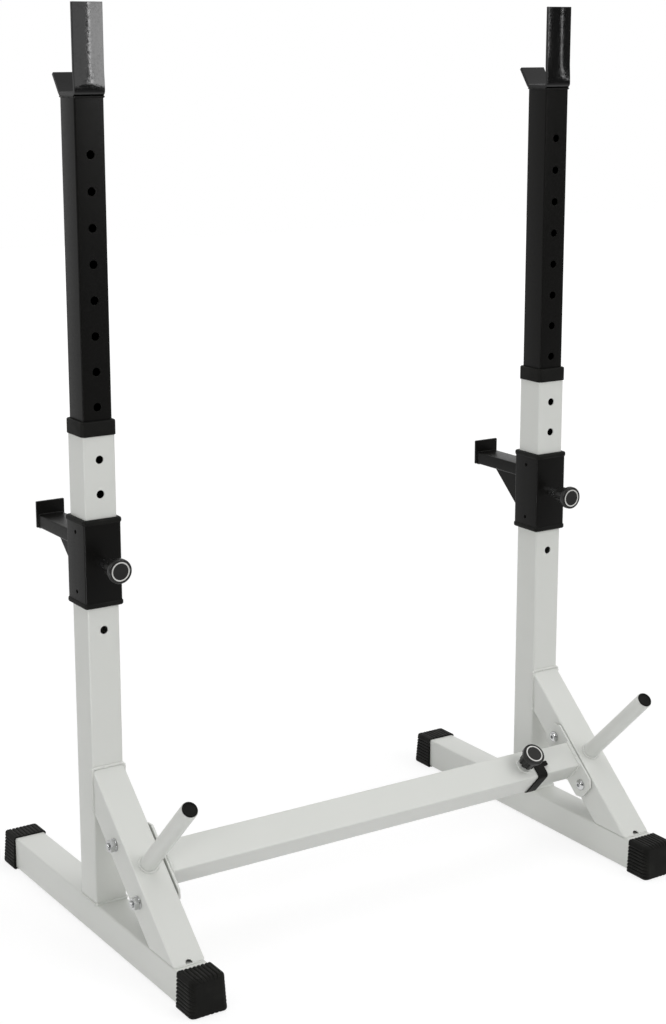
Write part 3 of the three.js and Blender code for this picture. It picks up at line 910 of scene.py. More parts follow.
@dataclass
class BaseFrame(SideAssembly):
    """One base frame: rail with its shoes, upright with its collar, brace, peg, joint plate and bolts."""

    front_reach: float = 322.0
    rear_reach: float = 311.0
    cap_length: float = 45.0
    cap_height: float = 55.0
    cap_foot: float = 60.0
    cap_top: float = 55.0
    cap_reach: float = 4.0
    cap_nose: float = 9.0
    cap_corner: float = 5.0
    cap_edge: float = 0.6
    nose_steps: int = 9
    nose_top: float = 0.7
    nose_sole: float = 0.35
    nose_wall: float = 11.5
    rib_depth: float = 2.2
    rib_run: float = 0.4
    rib_profile: Profile = ((0.0, 1.0), (0.1, 0.55), (0.24, 0.12), (0.5, 0.0), (0.76, 0.12), (0.9, 0.55))
    side_ribs: int = 8
    top_ribs: int = 7
    sole_ribs: int = 6
    upright_length: float = 720.0
    hole_count: int = 6
    top_hole_inset: float = 51.0
    collar: Collar = Collar(across=54.4, radius=6.2, skirt=17.0, rim=4.6, ease=2.4, ease_steps=4)
    toe_gap: float = 1.6
    drain: float = 11.0
    drain_from_foot: float = 3.5
    peg_diameter: float = 25.0
    peg_wall: float = 2.0
    peg_length: float = 177.0
    peg_elevation: float = 45.0
    peg_from_top: float = 162.5
    peg_faces: int = 56
    # Corners of the peg's mouth and of its plug, by radius and by height above the mouth
    peg_mouth: Profile = ((12.5, -0.8), (12.0, -0.15), (11.5, 0), (10.9, 0), (10.5, -0.4))
    peg_plug: Profile = ((0, -18), (9.6, -18), (10.2, -16), (10.2, 0.3), (11.4, 0.3), (11.5, 1.2),
                         (11.0, 2.1), (10.1, 2.5), (9.2, 2.4), (8.7, 1.5), (8.1, 1.0), (0, 1.3))
    plate: float = 6.0
    plate_gap: float = 2.5
    plate_length: float = 125.0
    plate_corner: float = 10.0
    plate_rim: float = 0.9
    bolt_spacing: float = 93.0
    fastener: Fastener = Fastener()
    foot_weld: Weld = Weld(radius=2.7, seed=1, wider=1.5, taller=1.5, lift=0.6)
    head_weld: Weld = Weld(radius=2.9, seed=2, wider=1.2, taller=1.6, lift=0.8)
    toe_weld: Weld = Weld(radius=1.7, seed=3, wider=-6.0, taller=-1.0, rounder=0.0, lift=0.6)
    peg_weld: Weld = Weld(radius=2.5, seed=4, wider=0.9, lift=0.7)

    @property
    def rail_middle(self) -> float:
        """Height of the rail's axis."""
        return LAYOUT.rail_top - LAYOUT.tube / 2

    def rail(self) -> None:
        """Makes the base rail: a tube along Y whose ends sit in the shoes."""
        inset = self.nose_wall + LAYOUT.seam
        length = self.front_reach + self.rear_reach - 2 * inset
        shape = moved(LAYOUT.stock(length), turn(-90, "X"), at(0, inset - self.front_reach, self.rail_middle))
        self.piece("rail_tube", shape, self.finishes.white, "base_rail")

    def shoe_ring(self, inset: float, depth: float) -> list[Vector]:
        """Returns the shoe's cross-section in XZ, ribbed on its sides, top and sole.

        Args:
            inset: How far its sides lie inside the full outline; top and sole move less.
            depth: Depth of the grooves between the ribs.

        Returns:
            The points in order, the same number for any inset.
        """
        corners = [Vector((self.cap_foot / 2, 0, 0)), Vector((self.cap_top / 2, 0, self.cap_height)),
                   Vector((-self.cap_top / 2, 0, self.cap_height)), Vector((-self.cap_foot / 2, 0, 0))]
        ribs = (self.side_ribs, self.top_ribs, self.side_ribs, self.sole_ribs)
        centre = Vector((0, 0, self.cap_height / 2))
        rounding = 4
        points = []
        for index, start in enumerate(corners):
            end, beyond = (corners[(index + step) % len(corners)] for step in (1, 2))
            run = (end - start).normalized()
            inward = run.cross(Vector((0, 1, 0)))
            inward *= math.copysign(1, inward.dot(centre - start))
            first = start + run * self.cap_corner
            length = (end - start).length - 2 * self.cap_corner
            for rib in range(ribs[index]):
                for share, groove in self.rib_profile:
                    spot = first + run * length * (rib + share) / ribs[index]
                    points.append(spot + inward * depth * (groove if rib or share else 0.0))
            low = end - run * self.cap_corner
            high = end + (beyond - end).normalized() * self.cap_corner
            shares = [step / rounding for step in range(rounding)]
            points += [low.lerp(end, share).lerp(end.lerp(high, share), share) for share in shares]
        narrow = 1 - 2 * inset / self.cap_foot
        sole = self.nose_sole * inset
        lower = 1 - (sole + self.nose_top * inset) / self.cap_height
        return [Vector((point.x * narrow, 0, sole + point.z * lower)) for point in points]

    def shoe(self) -> Shape:
        """Makes a ribbed shoe that opens at the origin; its closed, rounded nose points to +Y.

        Returns:
            The shoe.
        """
        shape = bmesh.new()
        face = shape.faces.new([shape.verts.new(point) for point in self.shoe_ring(0, self.rib_depth)])
        sections = [(0.0, self.cap_edge, 1.0)]
        for step in range(self.nose_steps + 1):
            angle = math.radians(90 * step / self.nose_steps)
            fade = math.cos(angle) ** self.rib_run if step < self.nose_steps else 0.0
            along = self.cap_length - self.cap_nose + self.cap_nose * math.sin(angle)
            sections.append((self.cap_nose * (1 - math.cos(angle)), along, fade))
        for inset, along, fade in sections:
            grown = bmesh.ops.extrude_face_region(shape, geom=[face])["geom"]
            face = next(item for item in grown if isinstance(item, bmesh.types.BMFace))
            for vert, point in zip(face.verts, self.shoe_ring(inset, self.rib_depth * fade)):
                vert.co = Vector((point.x, along, point.z))
        for vert in shape.verts:
            share = vert.co.y / self.cap_length
            vert.co.y -= self.cap_reach * share * vert.co.z / self.cap_height
        bmesh.ops.recalc_face_normals(shape, faces=shape.faces)
        pocket = moved(LAYOUT.fitted(self.cap_length - self.nose_wall + OVERRUN), turn(-90, "X"),
                       at(0, -OVERRUN, self.rail_middle))
        return carved(shape, pocket)

    def shoes(self) -> None:
        """Places both shoes over the rail's ends."""
        front = at(0, self.cap_length - self.front_reach, 0) @ turn(180, "Z")
        rear = at(0, self.rear_reach - self.cap_length, 0)
        for end, place in (("front", front), ("rear", rear)):
            self.piece(f"{end}_shoe", self.shoe(), self.finishes.plastic, f"base_cap_{end}", place, rim=0.0)

    def upright(self) -> None:
        """Makes the upright with its locking holes in the front wall."""
        top = LAYOUT.upright_bottom + self.upright_length
        heights = [top - self.top_hole_inset - index * LAYOUT.pitch for index in range(self.hole_count)]
        drills = front_drills(LAYOUT.tube, LAYOUT.hole, heights)
        stock = moved(LAYOUT.stock(self.upright_length), at(0, 0, LAYOUT.upright_bottom))
        self.piece("upright_tube", carved(stock, *drills), self.finishes.white, "upright")

    def upright_collar(self) -> None:
        """Makes the plastic bush over the upright's top end, with a rounded rim."""
        bottom = LAYOUT.upright_bottom + self.upright_length + LAYOUT.seam - self.collar.skirt
        self.piece("collar", self.collar.build(), self.finishes.plastic, "upright_collar", at(0, 0, bottom),
                   rim=SOFT_RIM)

    def brace(self) -> None:
        """Makes the sloping brace, cut plumb at the upright and level at the rail, with its drain hole."""
        length = LAYOUT.slope_length + 2 * LAYOUT.tube
        half = LAYOUT.tube / 2
        stock = moved(LAYOUT.stock(length), at(0, LAYOUT.tube, -half) @ turn(90, "X"))
        drill = moved(rod(self.drain, DRILL), at(0, self.drain_from_foot - LAYOUT.slope_length, -DRILL / 2))
        shape = moved(carved(stock, drill), turn(LAYOUT.angle, "X"), at(0, -half, LAYOUT.brace_top))
        size = 2 * length
        behind = moved(block(size, size), at(0, size / 2 - half - LAYOUT.seam, -size / 4))
        below = moved(block(size, size), at(0, 0, LAYOUT.rail_top + self.toe_gap - size))
        self.piece("brace_tube", carved(carved(shape, behind), below), self.finishes.white, "brace")

    @property
    def peg_skew(self) -> float:
        """Angle between the peg and the normal of the brace's upper face, in degrees."""
        return 90 - self.peg_elevation - LAYOUT.angle

    @property
    def peg_place(self) -> Matrix:
        """Frame at the peg's foot on the brace, seen from the upright, with +Z along the peg."""
        angle = math.radians(LAYOUT.angle)
        foot = at(0, -LAYOUT.tube / 2 - self.peg_from_top * math.cos(angle),
                  LAYOUT.brace_top - self.peg_from_top * math.sin(angle))
        return foot @ turn(90 - self.peg_elevation, "X")

    def peg(self) -> None:
        """Makes the plate peg and its end plug."""
        outer = self.peg_diameter / 2
        foot = [(outer - self.peg_wall, -OVERRUN), (outer, -OVERRUN)]
        ring = lathe(foot + raised(self.peg_mouth, self.peg_length), self.peg_faces)
        height = 3 * OVERRUN
        cutter = moved(block(height + OVERRUN, height), at(0, 0, LAYOUT.seam - height),
                       turn(-self.peg_skew, "X"))
        self.piece("peg_tube", carved(ring, cutter), self.finishes.white, "plate_peg", self.peg_place, 0.0)
        self.piece("peg_end_plug", lathe(self.peg_plug, self.peg_faces), self.finishes.plastic, "peg_plug",
                   self.peg_place @ at(0, 0, self.peg_length), rim=0.0)

    def joint(self) -> None:
        """Makes the joint plate with its bolts, washers and nuts."""
        half, corner, reach = LAYOUT.tube / 2, self.plate_corner, self.plate_length / 2
        quarter = [(half, reach - corner), (half - corner, reach)]
        upper = quarter + [(-x, y) for x, y in reversed(quarter)]
        outline = upper + [(-x, -y) for x, y in upper]
        aside = LAYOUT.slope @ at(0, -LAYOUT.crossbar_from_top, -half) @ turn(-self.side.value * 90, "Y")
        plate = moved(slab(outline, self.plate - self.plate_gap),
                      at(0, 0, half + LAYOUT.seam + self.plate_gap))
        self.piece("joint_plate_dressed", plate, self.finishes.white, "joint_plate", aside, self.plate_rim)
        seat = half + 2 * LAYOUT.seam + self.plate
        for label, sign in (("upper", 1), ("lower", -1)):
            spot = aside @ at(0, sign * self.bolt_spacing / 2, 0)
            self.piece(f"button_bolt_{label}", self.fastener.bolt(seat, half), self.finishes.zinc,
                       f"bolt_{label}", spot, rim=0.0)
            self.piece(f"hex_nut_{label}", self.fastener.nut_on_washer(half), self.finishes.zinc,
                       f"nut_{label}", spot, rim=0.0)

    def welds(self) -> None:
        """Lays the welds of upright, brace and peg as one piece."""
        size, corner = LAYOUT.tube, LAYOUT.radius
        # The cut ends of the sloping brace are longer than its tube is high
        high = size / math.cos(math.radians(LAYOUT.angle))
        long = size / math.sin(math.radians(LAYOUT.angle))
        foot = moved(self.foot_weld.lay(size, size, corner), at(0, 0, LAYOUT.rail_top))
        head = moved(self.head_weld.lay(size, high, corner), turn(90, "X"),
                     at(0, -size / 2, LAYOUT.brace_top - high / 2))
        toe = moved(self.toe_weld.lay(size, long, corner),
                    at(0, long / 2 - size / 2 - LAYOUT.brace_run, LAYOUT.rail_top))
        peg = moved(self.peg_weld.ring(self.peg_diameter / 2), turn(-self.peg_skew, "X"),
                    at(0, 0, self.peg_weld.lift), self.peg_place)
        self.piece("frame_welds", joined(foot, head, toe, peg), self.finishes.white, rim=0.0)

    def build(self) -> None:
        """Builds every piece of the frame."""
        self.rail()
        self.shoes()
        self.upright()
        self.upright_collar()
        self.brace()
        self.peg()
        self.joint()
        self.welds()


@dataclass
class Plunger(Assembly):
    """A spring plunger: bright hexagon barrel on its seat, pin and spring inside, black pull knob."""

    prefix: str
    barrel_body: str
    place: Matrix
    gap: float = 5.1
    travel: float = 10.0
    barrel_across: float = 13.0
    barrel_length: float = 18.5
    barrel_chamfer: Point = (1.0, 0.9)
    barrel_rim: float = 0.25
    end_wall: float = 2.0
    bore: float = 11.0
    rod_hole: float = 6.6
    knob_length: float = 30.0
    knob_faces: int = 72
    knob_rim: float = 0.3
    clearance: float = 0.5
    # Corners of the knob by radius and height: from its socket's floor, from its open end, and from its cap
    socket: Profile = ((0, 0.3), (7.7, 0), (8.0, -0.4))
    taper: Profile = ((8.0, 0.5), (8.4, 0), (12.3, 0), (13.0, 0.5), (13.3, 1.5), (13.7, 8), (14.2, 14))
    cap: Profile = ((14.7, -11.4), (15.0, -10.4), (16.7, -9.5), (17.6, -8.5), (18.0, -7.3), (18.0, -2.4),
                    (17.7, -1.1), (16.9, -0.3), (16.1, 0), (15.3, 0), (14.8, -0.5), (0, -0.5))
    ring: Profile = ((12.1, -0.5), (14.0, -0.5), (14.0, -0.3), (12.1, -0.3))
    flutes: int = 8
    flute: Profile = ((0, -4), (2.6, -4), (2.6, 18), (2.2, 19.4), (1.4, 20.2), (0, 20.4))
    flute_faces: int = 20
    flute_lean: float = 4.0
    flute_radius: float = 13.5

    def barrel(self) -> None:
        """Makes the hexagon barrel with its chamfered outer end."""
        bottom, top = LAYOUT.seam, LAYOUT.seam + self.barrel_length
        corner = self.barrel_across / math.cos(math.pi / HEXAGON)
        inset, drop = self.barrel_chamfer
        hexagon = rod(corner, self.barrel_length, HEXAGON, bottom)
        outer = corner / 2
        rounded = lathe([(0, bottom), (outer, bottom), (outer, top - drop), (outer - inset, top), (0, top)])
        bore = rod(self.bore, self.barrel_length, start=bottom - self.end_wall)
        through = rod(self.rod_hole, 3 * self.barrel_length, start=-self.barrel_length)
        shape = carved(carved(hexagon, rounded, operation="INTERSECT"), bore, through)
        self.add(f"{self.prefix}_hex_barrel", shape, self.finishes.zinc, [f"{self.prefix}_plunger_barrel"],
                 self.place, self.barrel_rim, self.barrel_body)

    def knob(self) -> None:
        """Makes the pull knob: neck ring, fluted taper, waist and a dished cap with a plain printed ring."""
        start = LAYOUT.seam + self.barrel_length + self.gap
        end = start + self.knob_length
        floor = start + self.travel - self.gap + self.clearance
        profile = raised(self.socket, floor) + raised(self.taper, start) + raised(self.cap, end)
        cutters = []
        for index in range(self.flutes):
            cutters.append(moved(lathe(self.flute, self.flute_faces), turn(-self.flute_lean, "X"),
                                 at(0, self.flute_radius, start), turn(360 * index / self.flutes, "Z")))
        shape = carved(lathe(profile, self.knob_faces), *cutters)
        self.add(f"{self.prefix}_pull_knob", shape, self.finishes.grip, [f"{self.prefix}_plunger_knob"],
                 self.place, self.knob_rim)
        self.add(f"{self.prefix}_knob_ring", lathe(raised(self.ring, end), self.knob_faces),
                 self.finishes.print_white, (), self.place, rim=0.0)

    def build(self) -> None:
        """Builds barrel and knob, and dresses the pin and spring inside them."""
        self.barrel()
        self.knob()
        self.dress(f"{self.prefix}_plunger_pin", self.finishes.zinc)
        self.dress(f"{self.prefix}_plunger_spring", self.finishes.zinc)


@dataclass
class Post(SideAssembly):
    """The inner post with its holes, its bent bar cup and the weld between them."""

    width: float = LAYOUT.inner_tube
    radius: float = 2.4
    bottom: float = 496.6
    top: float = 1224.6
    first_hole: float = 796.6
    shown_holes: int = 8
    hidden_hole: float = 521.6
    hidden_holes: int = 5
    plate: float = 5.0
    cup_width: float = 46.0
    cup_proud: float = 3.5
    cup_rim: float = 0.6
    leg_height: float = 125.0
    bend: float = 3.0
    lip_rise: float = 31.5
    lip_lean: float = 36.0
    seat_inset: float = 2.5
    leg_sag: float = 1.6
    sag_start: float = 8.0
    sag_run: float = 30.0
    cuts_across: int = 12
    cuts_up: int = 7
    cup_weld: Weld = Weld(radius=1.5, seed=11, wider=0.6, taller=0.6, rounder=0.0, lift=-0.4)

    def post(self) -> None:
        """Makes the post tube with its rows of holes in the front wall."""
        rows = ((self.hidden_hole, self.hidden_holes), (self.first_hole, self.shown_holes))
        heights = [first + index * LAYOUT.pitch for first, count in rows for index in range(count)]
        drills = front_drills(self.width, LAYOUT.hole, heights)
        stock = moved(tube(self.width, self.width, LAYOUT.wall, self.radius, self.top - self.bottom),
                      at(0, 0, self.bottom))
        self.piece("post_tube", carved(stock, *drills), self.finishes.black, "inner_post")

    def cup_line(self) -> list[Point]:
        """Returns the cup's closed side outline, as Y and Z above the post's top."""
        front = -self.width / 2 - self.cup_proud
        outer, inner, lean = self.bend + self.plate, self.bend, math.radians(self.lip_lean)
        lip = Vector((math.sin(lean), math.cos(lean))) * self.lip_rise
        centre_rear = Vector((self.width / 2 - self.seat_inset, outer))
        centre_front = Vector((front + outer, outer))

        def arc(centre: Vector, radius: float, start: float, stop: float, steps: int = 8) -> list[Point]:
            """Returns points of an arc between two angles in degrees."""
            angles = [math.radians(start + (stop - start) * step / steps) for step in range(steps + 1)]
            return [(centre.x + radius * math.cos(angle), centre.y + radius * math.sin(angle))
                    for angle in angles]

        tip_start = 360 - self.lip_lean
        outside = arc(centre_front, outer, 180, 270) + arc(centre_rear, outer, 270, tip_start)
        inside = arc(centre_rear, inner, tip_start, 270) + arc(centre_front, inner, 270, 180)
        tip = [tuple(Vector(outside[-1]) + lip), tuple(Vector(inside[0]) + lip)]
        return [(front, self.leg_height)] + outside + tip + inside + [(front + self.plate, self.leg_height)]

    def cup(self) -> None:
        """Makes the bar cup: bent plate, slightly crowned across its tall leg."""
        half = self.cup_width / 2
        shape = moved(slab(self.cup_line(), self.cup_width), at(0, 0, -half), turn(90, "Y"), turn(90, "X"))
        planes = [((-half + self.cup_width * cut / self.cuts_across, 0, 0), (1, 0, 0))
                  for cut in range(1, self.cuts_across)]
        planes += [((0, 0, self.leg_height * cut / self.cuts_up), (0, 0, 1))
                   for cut in range(1, self.cuts_up)]
        for spot, normal in planes:
            bmesh.ops.bisect_plane(shape, geom=shape.verts[:] + shape.edges[:] + shape.faces[:],
                                   plane_co=spot, plane_no=normal)
        for vert in shape.verts:
            if vert.co.y < -self.width / 4:
                rise = min(1.0, max(0.0, (vert.co.z - self.sag_start) / self.sag_run))
                vert.co.y += self.leg_sag * (vert.co.x / half) ** 2 * rise * rise * (3 - 2 * rise)
        self.piece("cup", shape, self.finishes.enamel, "bar_cup", at(0, 0, self.top + LAYOUT.seam),
                   self.cup_rim)

    def weld(self) -> None:
        """Lays the weld between the post's top and the cup's seat."""
        ring = moved(self.cup_weld.lay(self.width, self.width, self.radius), at(0, 0, self.top))
        self.piece("cup_weld", ring, self.finishes.black, rim=0.0)

    def build(self) -> None:
        """Builds post, cup and weld, and dresses the hidden glide."""
        self.post()
        self.cup()
        self.weld()
        self.dress(f"{self.side.tag}_post_glide", self.finishes.plastic)


@dataclass
class Carriage(SideAssembly):
    """The sliding carriage: sleeve, liners, spotter arm with its gusset and stop, and their welds."""

    sleeve_width: float = 58.2
    sleeve_wall: float = 2.2
    sleeve_radius: float = 3.0
    bottom: float = 510.6
    top: float = 632.6
    pin_height: float = 571.6
    pin_hole: float = 11.0
    side_hole: float = 6.0
    side_hole_inset: float = 17.0
    liner_bore: float = 50.8
    liner_wall: float = 1.2
    liner_corner: float = 2.0
    liner_run: float = 1.0
    liner_rim: float = 0.3
    lip: float = 4.0
    lip_wrap: float = 4.4
    lip_width: float = 61.4
    lip_radius: float = 5.0
    lip_ease: float = 3.0
    lip_steps: int = 5
    barb_length: float = 2.3
    barb_gap: float = 0.5
    barb_faces: int = 24
    barb_inset: float = 3.5
    slit: float = 2.6
    slit_length: float = 10.0
    slit_height: float = 3.0
    slit_corner: float = 0.3
    slit_floor: float = 0.7
    slit_slope: float = 37.0
    arm_width: float = 40.0
    arm_height: float = 20.0
    arm_radius: float = 2.5
    arm_length: float = 116.0
    arm_drop: float = 23.0
    stop_width: float = 45.0
    stop_height: float = 40.0
    stop_plate: float = 4.0
    stop_ease: float = 1.2
    stop_steps: int = 3
    stop_rim: float = 0.6
    gusset: float = 4.0
    gusset_reach: float = 88.0
    gusset_depth: float = 76.0
    root_weld: Weld = Weld(radius=1.8, seed=21, wider=1.0, taller=1.0, lift=0.6)
    tip_weld: Weld = Weld(radius=1.6, seed=22, rounder=0.0)
    # The straight beads along the gusset: how far out and how deep they lie, and where they start
    seam_bead: float = 1.7
    along_seed: int = 23
    down_seed: int = 26
    seam_out: float = 0.5
    seam_sunk: float = 0.4
    seam_inset: float = 4.0

    @property
    def arm_top(self) -> float:
        """Height of the arm's upper face."""
        return self.top - self.arm_drop

    @property
    def arm_under(self) -> float:
        """Height of the arm's lower face."""
        return self.arm_top - self.arm_height

    @property
    def arm_middle(self) -> float:
        """Height of the arm's axis."""
        return self.arm_top - self.arm_height / 2

    def sleeve(self) -> None:
        """Makes the sleeve with the pin's hole and the side holes that the liners snap into."""
        drills = front_drills(self.sleeve_width, self.pin_hole, [self.pin_height])
        for height in (self.bottom + self.side_hole_inset, self.top - self.side_hole_inset):
            drills.append(moved(rod(self.side_hole, 2 * self.sleeve_width), at(0, 0, -self.sleeve_width),
                                turn(90, "Y"), at(0, 0, height)))
        stock = tube(self.sleeve_width, self.sleeve_width, self.sleeve_wall, self.sleeve_radius,
                     self.top - self.bottom)
        moved(stock, at(0, 0, self.bottom))
        self.piece("sleeve", carved(stock, *drills), self.finishes.black, "carriage_sleeve", rim=SOFT_RIM)

    def barb(self, sign: int, lean: float) -> Shape:
        """Makes the slit barb that shows in one of the sleeve's side holes.

        Args:
            sign: The side along X.
            lean: Slope of its slit, in degrees.

        Returns:
            The barb, about the height of its hole.
        """
        slit = moved(bar(self.slit, self.slit_length, self.slit_corner, self.slit_height), turn(lean, "Z"),
                     at(0, 0, self.slit_floor))
        shape = carved(rod(self.side_hole - self.barb_gap, self.barb_length, self.barb_faces), slit)
        return moved(shape, turn(90 * sign, "Y"), at(sign * (self.sleeve_width / 2 - self.barb_inset), 0, 0))

    def liner(self, label: str, way: int, place: Matrix) -> None:
        """Makes a liner: skirt in the sleeve, round-edged lip over its end, and a barb in each side hole.

        Args:
            label: upper or lower.
            way: 1 for the upper liner and -1 for the lower one, which is the same piece turned over.
            place: Where the sleeve ends.
        """
        depth = self.side_hole_inset + self.liner_run
        outer = self.liner_bore + 2 * self.liner_wall
        skirt = tube(outer, outer, self.liner_wall, LAYOUT.radius, depth + self.liner_run)
        low, high = depth - self.lip_wrap, depth + self.lip
        lip = moved(bar(self.lip_width, self.lip_width, self.lip_radius, high - low), at(0, 0, low))
        eased(lip, self.lip_ease, self.lip_steps, lambda edge: rise_of(edge) < LEVEL)
        across = self.sleeve_width + LAYOUT.seam
        pocket = bar(across, across, self.sleeve_radius, depth)
        through = moved(bar(self.liner_bore, self.liner_bore, self.liner_corner, 3 * OVERRUN),
                        at(0, 0, -OVERRUN / 2))
        shape = carved(carved(carved(lip, pocket), skirt, operation="UNION"), through)
        barbs = [moved(self.barb(sign, self.slit_slope * sign * way), at(0, 0, depth - self.side_hole_inset))
                 for sign in (-1, 1)]
        self.piece(f"sleeve_liner_{label}", moved(joined(shape, *barbs), at(0, 0, -depth)),
                   self.finishes.plastic, f"liner_{label}", place, self.liner_rim)

    def arm(self) -> None:
        """Makes the spotter arm, the plate that stops the bar, and the gusset under the arm."""
        start = self.sleeve_width / 2 + LAYOUT.seam
        shape = moved(tube(self.arm_width, self.arm_height, LAYOUT.wall, self.arm_radius, self.arm_length),
                      turn(-90, "X"), at(0, start, self.arm_middle))
        self.piece("arm_tube", shape, self.finishes.black, "spotter_arm")
        half = self.stop_width / 2
        outline = [(-half, 0), (half, 0), (half, self.stop_height), (-half, self.stop_height)]
        stop = eased(slab(outline, self.stop_plate), self.stop_ease, self.stop_steps,
                     lambda edge: rise_of(edge) > LEVEL)
        moved(stop, turn(90, "X"),
              at(0, start + self.arm_length + LAYOUT.seam + self.stop_plate, self.arm_under))
        self.piece("stop_plate", stop, self.finishes.black, "arm_stop", rim=self.stop_rim)
        web = [(start, 0), (start, -self.gusset_depth), (start + 2 * self.gusset, -self.gusset_depth),
               (start + self.gusset_reach, -self.gusset), (start + self.gusset_reach, 0)]
        plate = moved(slab(web, self.gusset), at(0, 0, -self.gusset / 2), turn(90, "Y"), turn(90, "X"),
                      at(0, 0, self.arm_under - LAYOUT.seam))
        self.piece("gusset_plate", plate, self.finishes.black, "arm_gusset", rim=SOFT_RIM)

    def welds(self) -> None:
        """Lays the welds of the arm, its stop and its gusset as one piece."""
        start = self.sleeve_width / 2
        lay = turn(-90, "X")
        root = moved(self.root_weld.lay(self.arm_width, self.arm_height, self.arm_radius), lay,
                     at(0, start, self.arm_middle))
        tip = moved(self.tip_weld.lay(self.arm_width, self.arm_height, self.arm_radius), lay,
                    at(0, start + self.arm_length, self.arm_middle))
        level, plumb = self.arm_under - self.seam_sunk, start + self.seam_sunk
        lines = []
        for sign in (-1, 1):
            x = sign * (self.gusset / 2 + self.seam_out)
            along = [Vector((x, start + self.seam_inset, level)),
                     Vector((x, start + self.gusset_reach, level))]
            down = [Vector((x, plumb, self.arm_under - self.seam_inset)),
                    Vector((x, plumb, self.arm_under - self.gusset_depth))]
            lines += [bead(path, self.seam_bead, seed + sign, closed=False)
                      for path, seed in ((along, self.along_seed), (down, self.down_seed))]
        self.piece("arm_welds", joined(root, tip, *lines), self.finishes.black, rim=0.0)

    def build(self) -> None:
        """Builds every piece of the carriage."""
        self.sleeve()
        self.liner("upper", 1, at(0, 0, self.top))
        self.liner("lower", -1, at(0, 0, self.bottom) @ turn(180, "X"))
        self.arm()
        self.welds()


@dataclass
class Crossbar(Assembly):
    """The telescopic crossbar: outer tube on the left frame, inner tube on the right one, end collar."""

    inner_body: str = "right_frame"
    start: float = 31.6
    end: float = 711.0
    inner_start: float = 411.0
    inner_end: float = 784.4
    pin_x: float = 681.0
    holes: int = 5
    hole_depth: float = 12.0
    boss: float = 26.0
    boss_bore: float = 11.0
    boss_height: float = 1.2
    boss_chamfer: float = 0.7
    boss_gap: float = 0.1
    boss_drill: float = 14.0
    boss_weld: Weld = Weld(radius=1.6, seed=31, wider=-0.2, lift=0.2)
    knob_gap: float = -12.5
    pin_travel: float = 5.5
    collar: Collar = Collar(across=55.0, radius=6.5, skirt=16.0, rim=3.0, ease=1.4, ease_steps=3)
    catch_width: float = 4.6
    catch_depth: float = 7.5
    catch_reach: float = 9.0
    catch_corner: float = 0.5
    catch_ease: float = 1.6
    catch_steps: int = 3
    catch_y: float = -5.5
    catch_sunk: float = 2.0
    left_weld: Weld = Weld(radius=2.1, seed=41, wider=1.2, taller=1.2, rounder=0.8, lift=0.6)
    right_weld: Weld = Weld(radius=2.1, seed=42, wider=1.2, taller=1.2, rounder=0.8, lift=-0.6)

    @property
    def place(self) -> Matrix:
        """Frame on the slope at the left upright's middle, on the crossbar's line."""
        return LAYOUT.axis(Side.LEFT) @ LAYOUT.slope @ at(0, -LAYOUT.crossbar_from_top, 0)

    def laid(self, shape: Shape, start: float) -> Shape:
        """Turns a shape from +Z to +X and sets it inside the face, starting at a place along the bar."""
        return moved(shape, turn(90, "Y"), at(start, 0, -LAYOUT.tube / 2))

    def outer(self) -> None:
        """Makes the outer tube with the boss that carries its plunger."""
        stock = self.laid(LAYOUT.stock(self.end - self.start), self.start)
        drill = moved(rod(self.boss_bore, self.boss_drill), at(self.pin_x, 0, -DRILL))
        self.add("crossbar_outer", carved(stock, drill), self.finishes.white, ["crossbar_outer_tube"],
                 self.place)
        radius, bore, inset = self.boss / 2, self.boss_bore / 2, self.boss_chamfer
        shoulder = self.boss_height - inset
        ring = lathe([(bore, self.boss_gap), (radius, self.boss_gap), (radius, shoulder),
                      (radius - inset, self.boss_height), (bore + inset, self.boss_height), (bore, shoulder)])
        weld = moved(self.boss_weld.ring(radius), at(0, 0, self.boss_weld.lift))
        self.add("crossbar_boss", joined(ring, weld), self.finishes.white, (),
                 self.place @ at(self.pin_x, 0, 0), rim=0.0)

    def inner(self) -> None:
        """Makes the inner tube with its row of holes."""
        width = LAYOUT.inner_tube
        stock = self.laid(tube(width, width, LAYOUT.wall, LAYOUT.radius, self.inner_end - self.inner_start),
                          self.inner_start)
        drills = [moved(rod(LAYOUT.hole, self.hole_depth), at(self.pin_x - index * LAYOUT.pitch, 0, -DRILL))
                  for index in range(self.holes)]
        self.add("crossbar_inner", carved(stock, *drills), self.finishes.white, ["crossbar_inner_tube"],
                 self.place, body=self.inner_body)

    def end_collar(self) -> None:
        """Makes the plastic end collar of the outer tube, with its small catch."""
        length = self.catch_reach + self.catch_sunk
        catch = eased(bar(self.catch_width, self.catch_depth, self.catch_corner, length), self.catch_ease,
                      self.catch_steps, is_sharp)
        moved(catch, at((self.catch_width - self.collar.across) / 2, self.catch_y,
                        self.collar.height - self.catch_sunk))
        shape = carved(self.collar.build(), catch, operation="UNION")
        self.add("crossbar_collar", self.laid(shape, self.end + LAYOUT.seam - self.collar.skirt),
                 self.finishes.plastic, ["crossbar_end_collar"], self.place, rim=SOFT_RIM)

    def welds(self) -> None:
        """Lays the welds between the crossbar's tubes and the joint plates."""
        for name, weld, x, width, body in (
                ("left", self.left_weld, self.start, LAYOUT.tube, self.body),
                ("right", self.right_weld, self.inner_end, LAYOUT.inner_tube, self.inner_body)):
            ring = self.laid(weld.lay(width, width, LAYOUT.radius), x)
            self.add(f"crossbar_weld_{name}", ring, self.finishes.white, (), self.place, rim=0.0, body=body)

    def build(self) -> None:
        """Builds the crossbar and dresses its hidden glide."""
        self.outer()
        self.inner()
        self.end_collar()
        self.welds()
        self.dress("crossbar_inner_glide", self.finishes.plastic)


# Studio, in metres


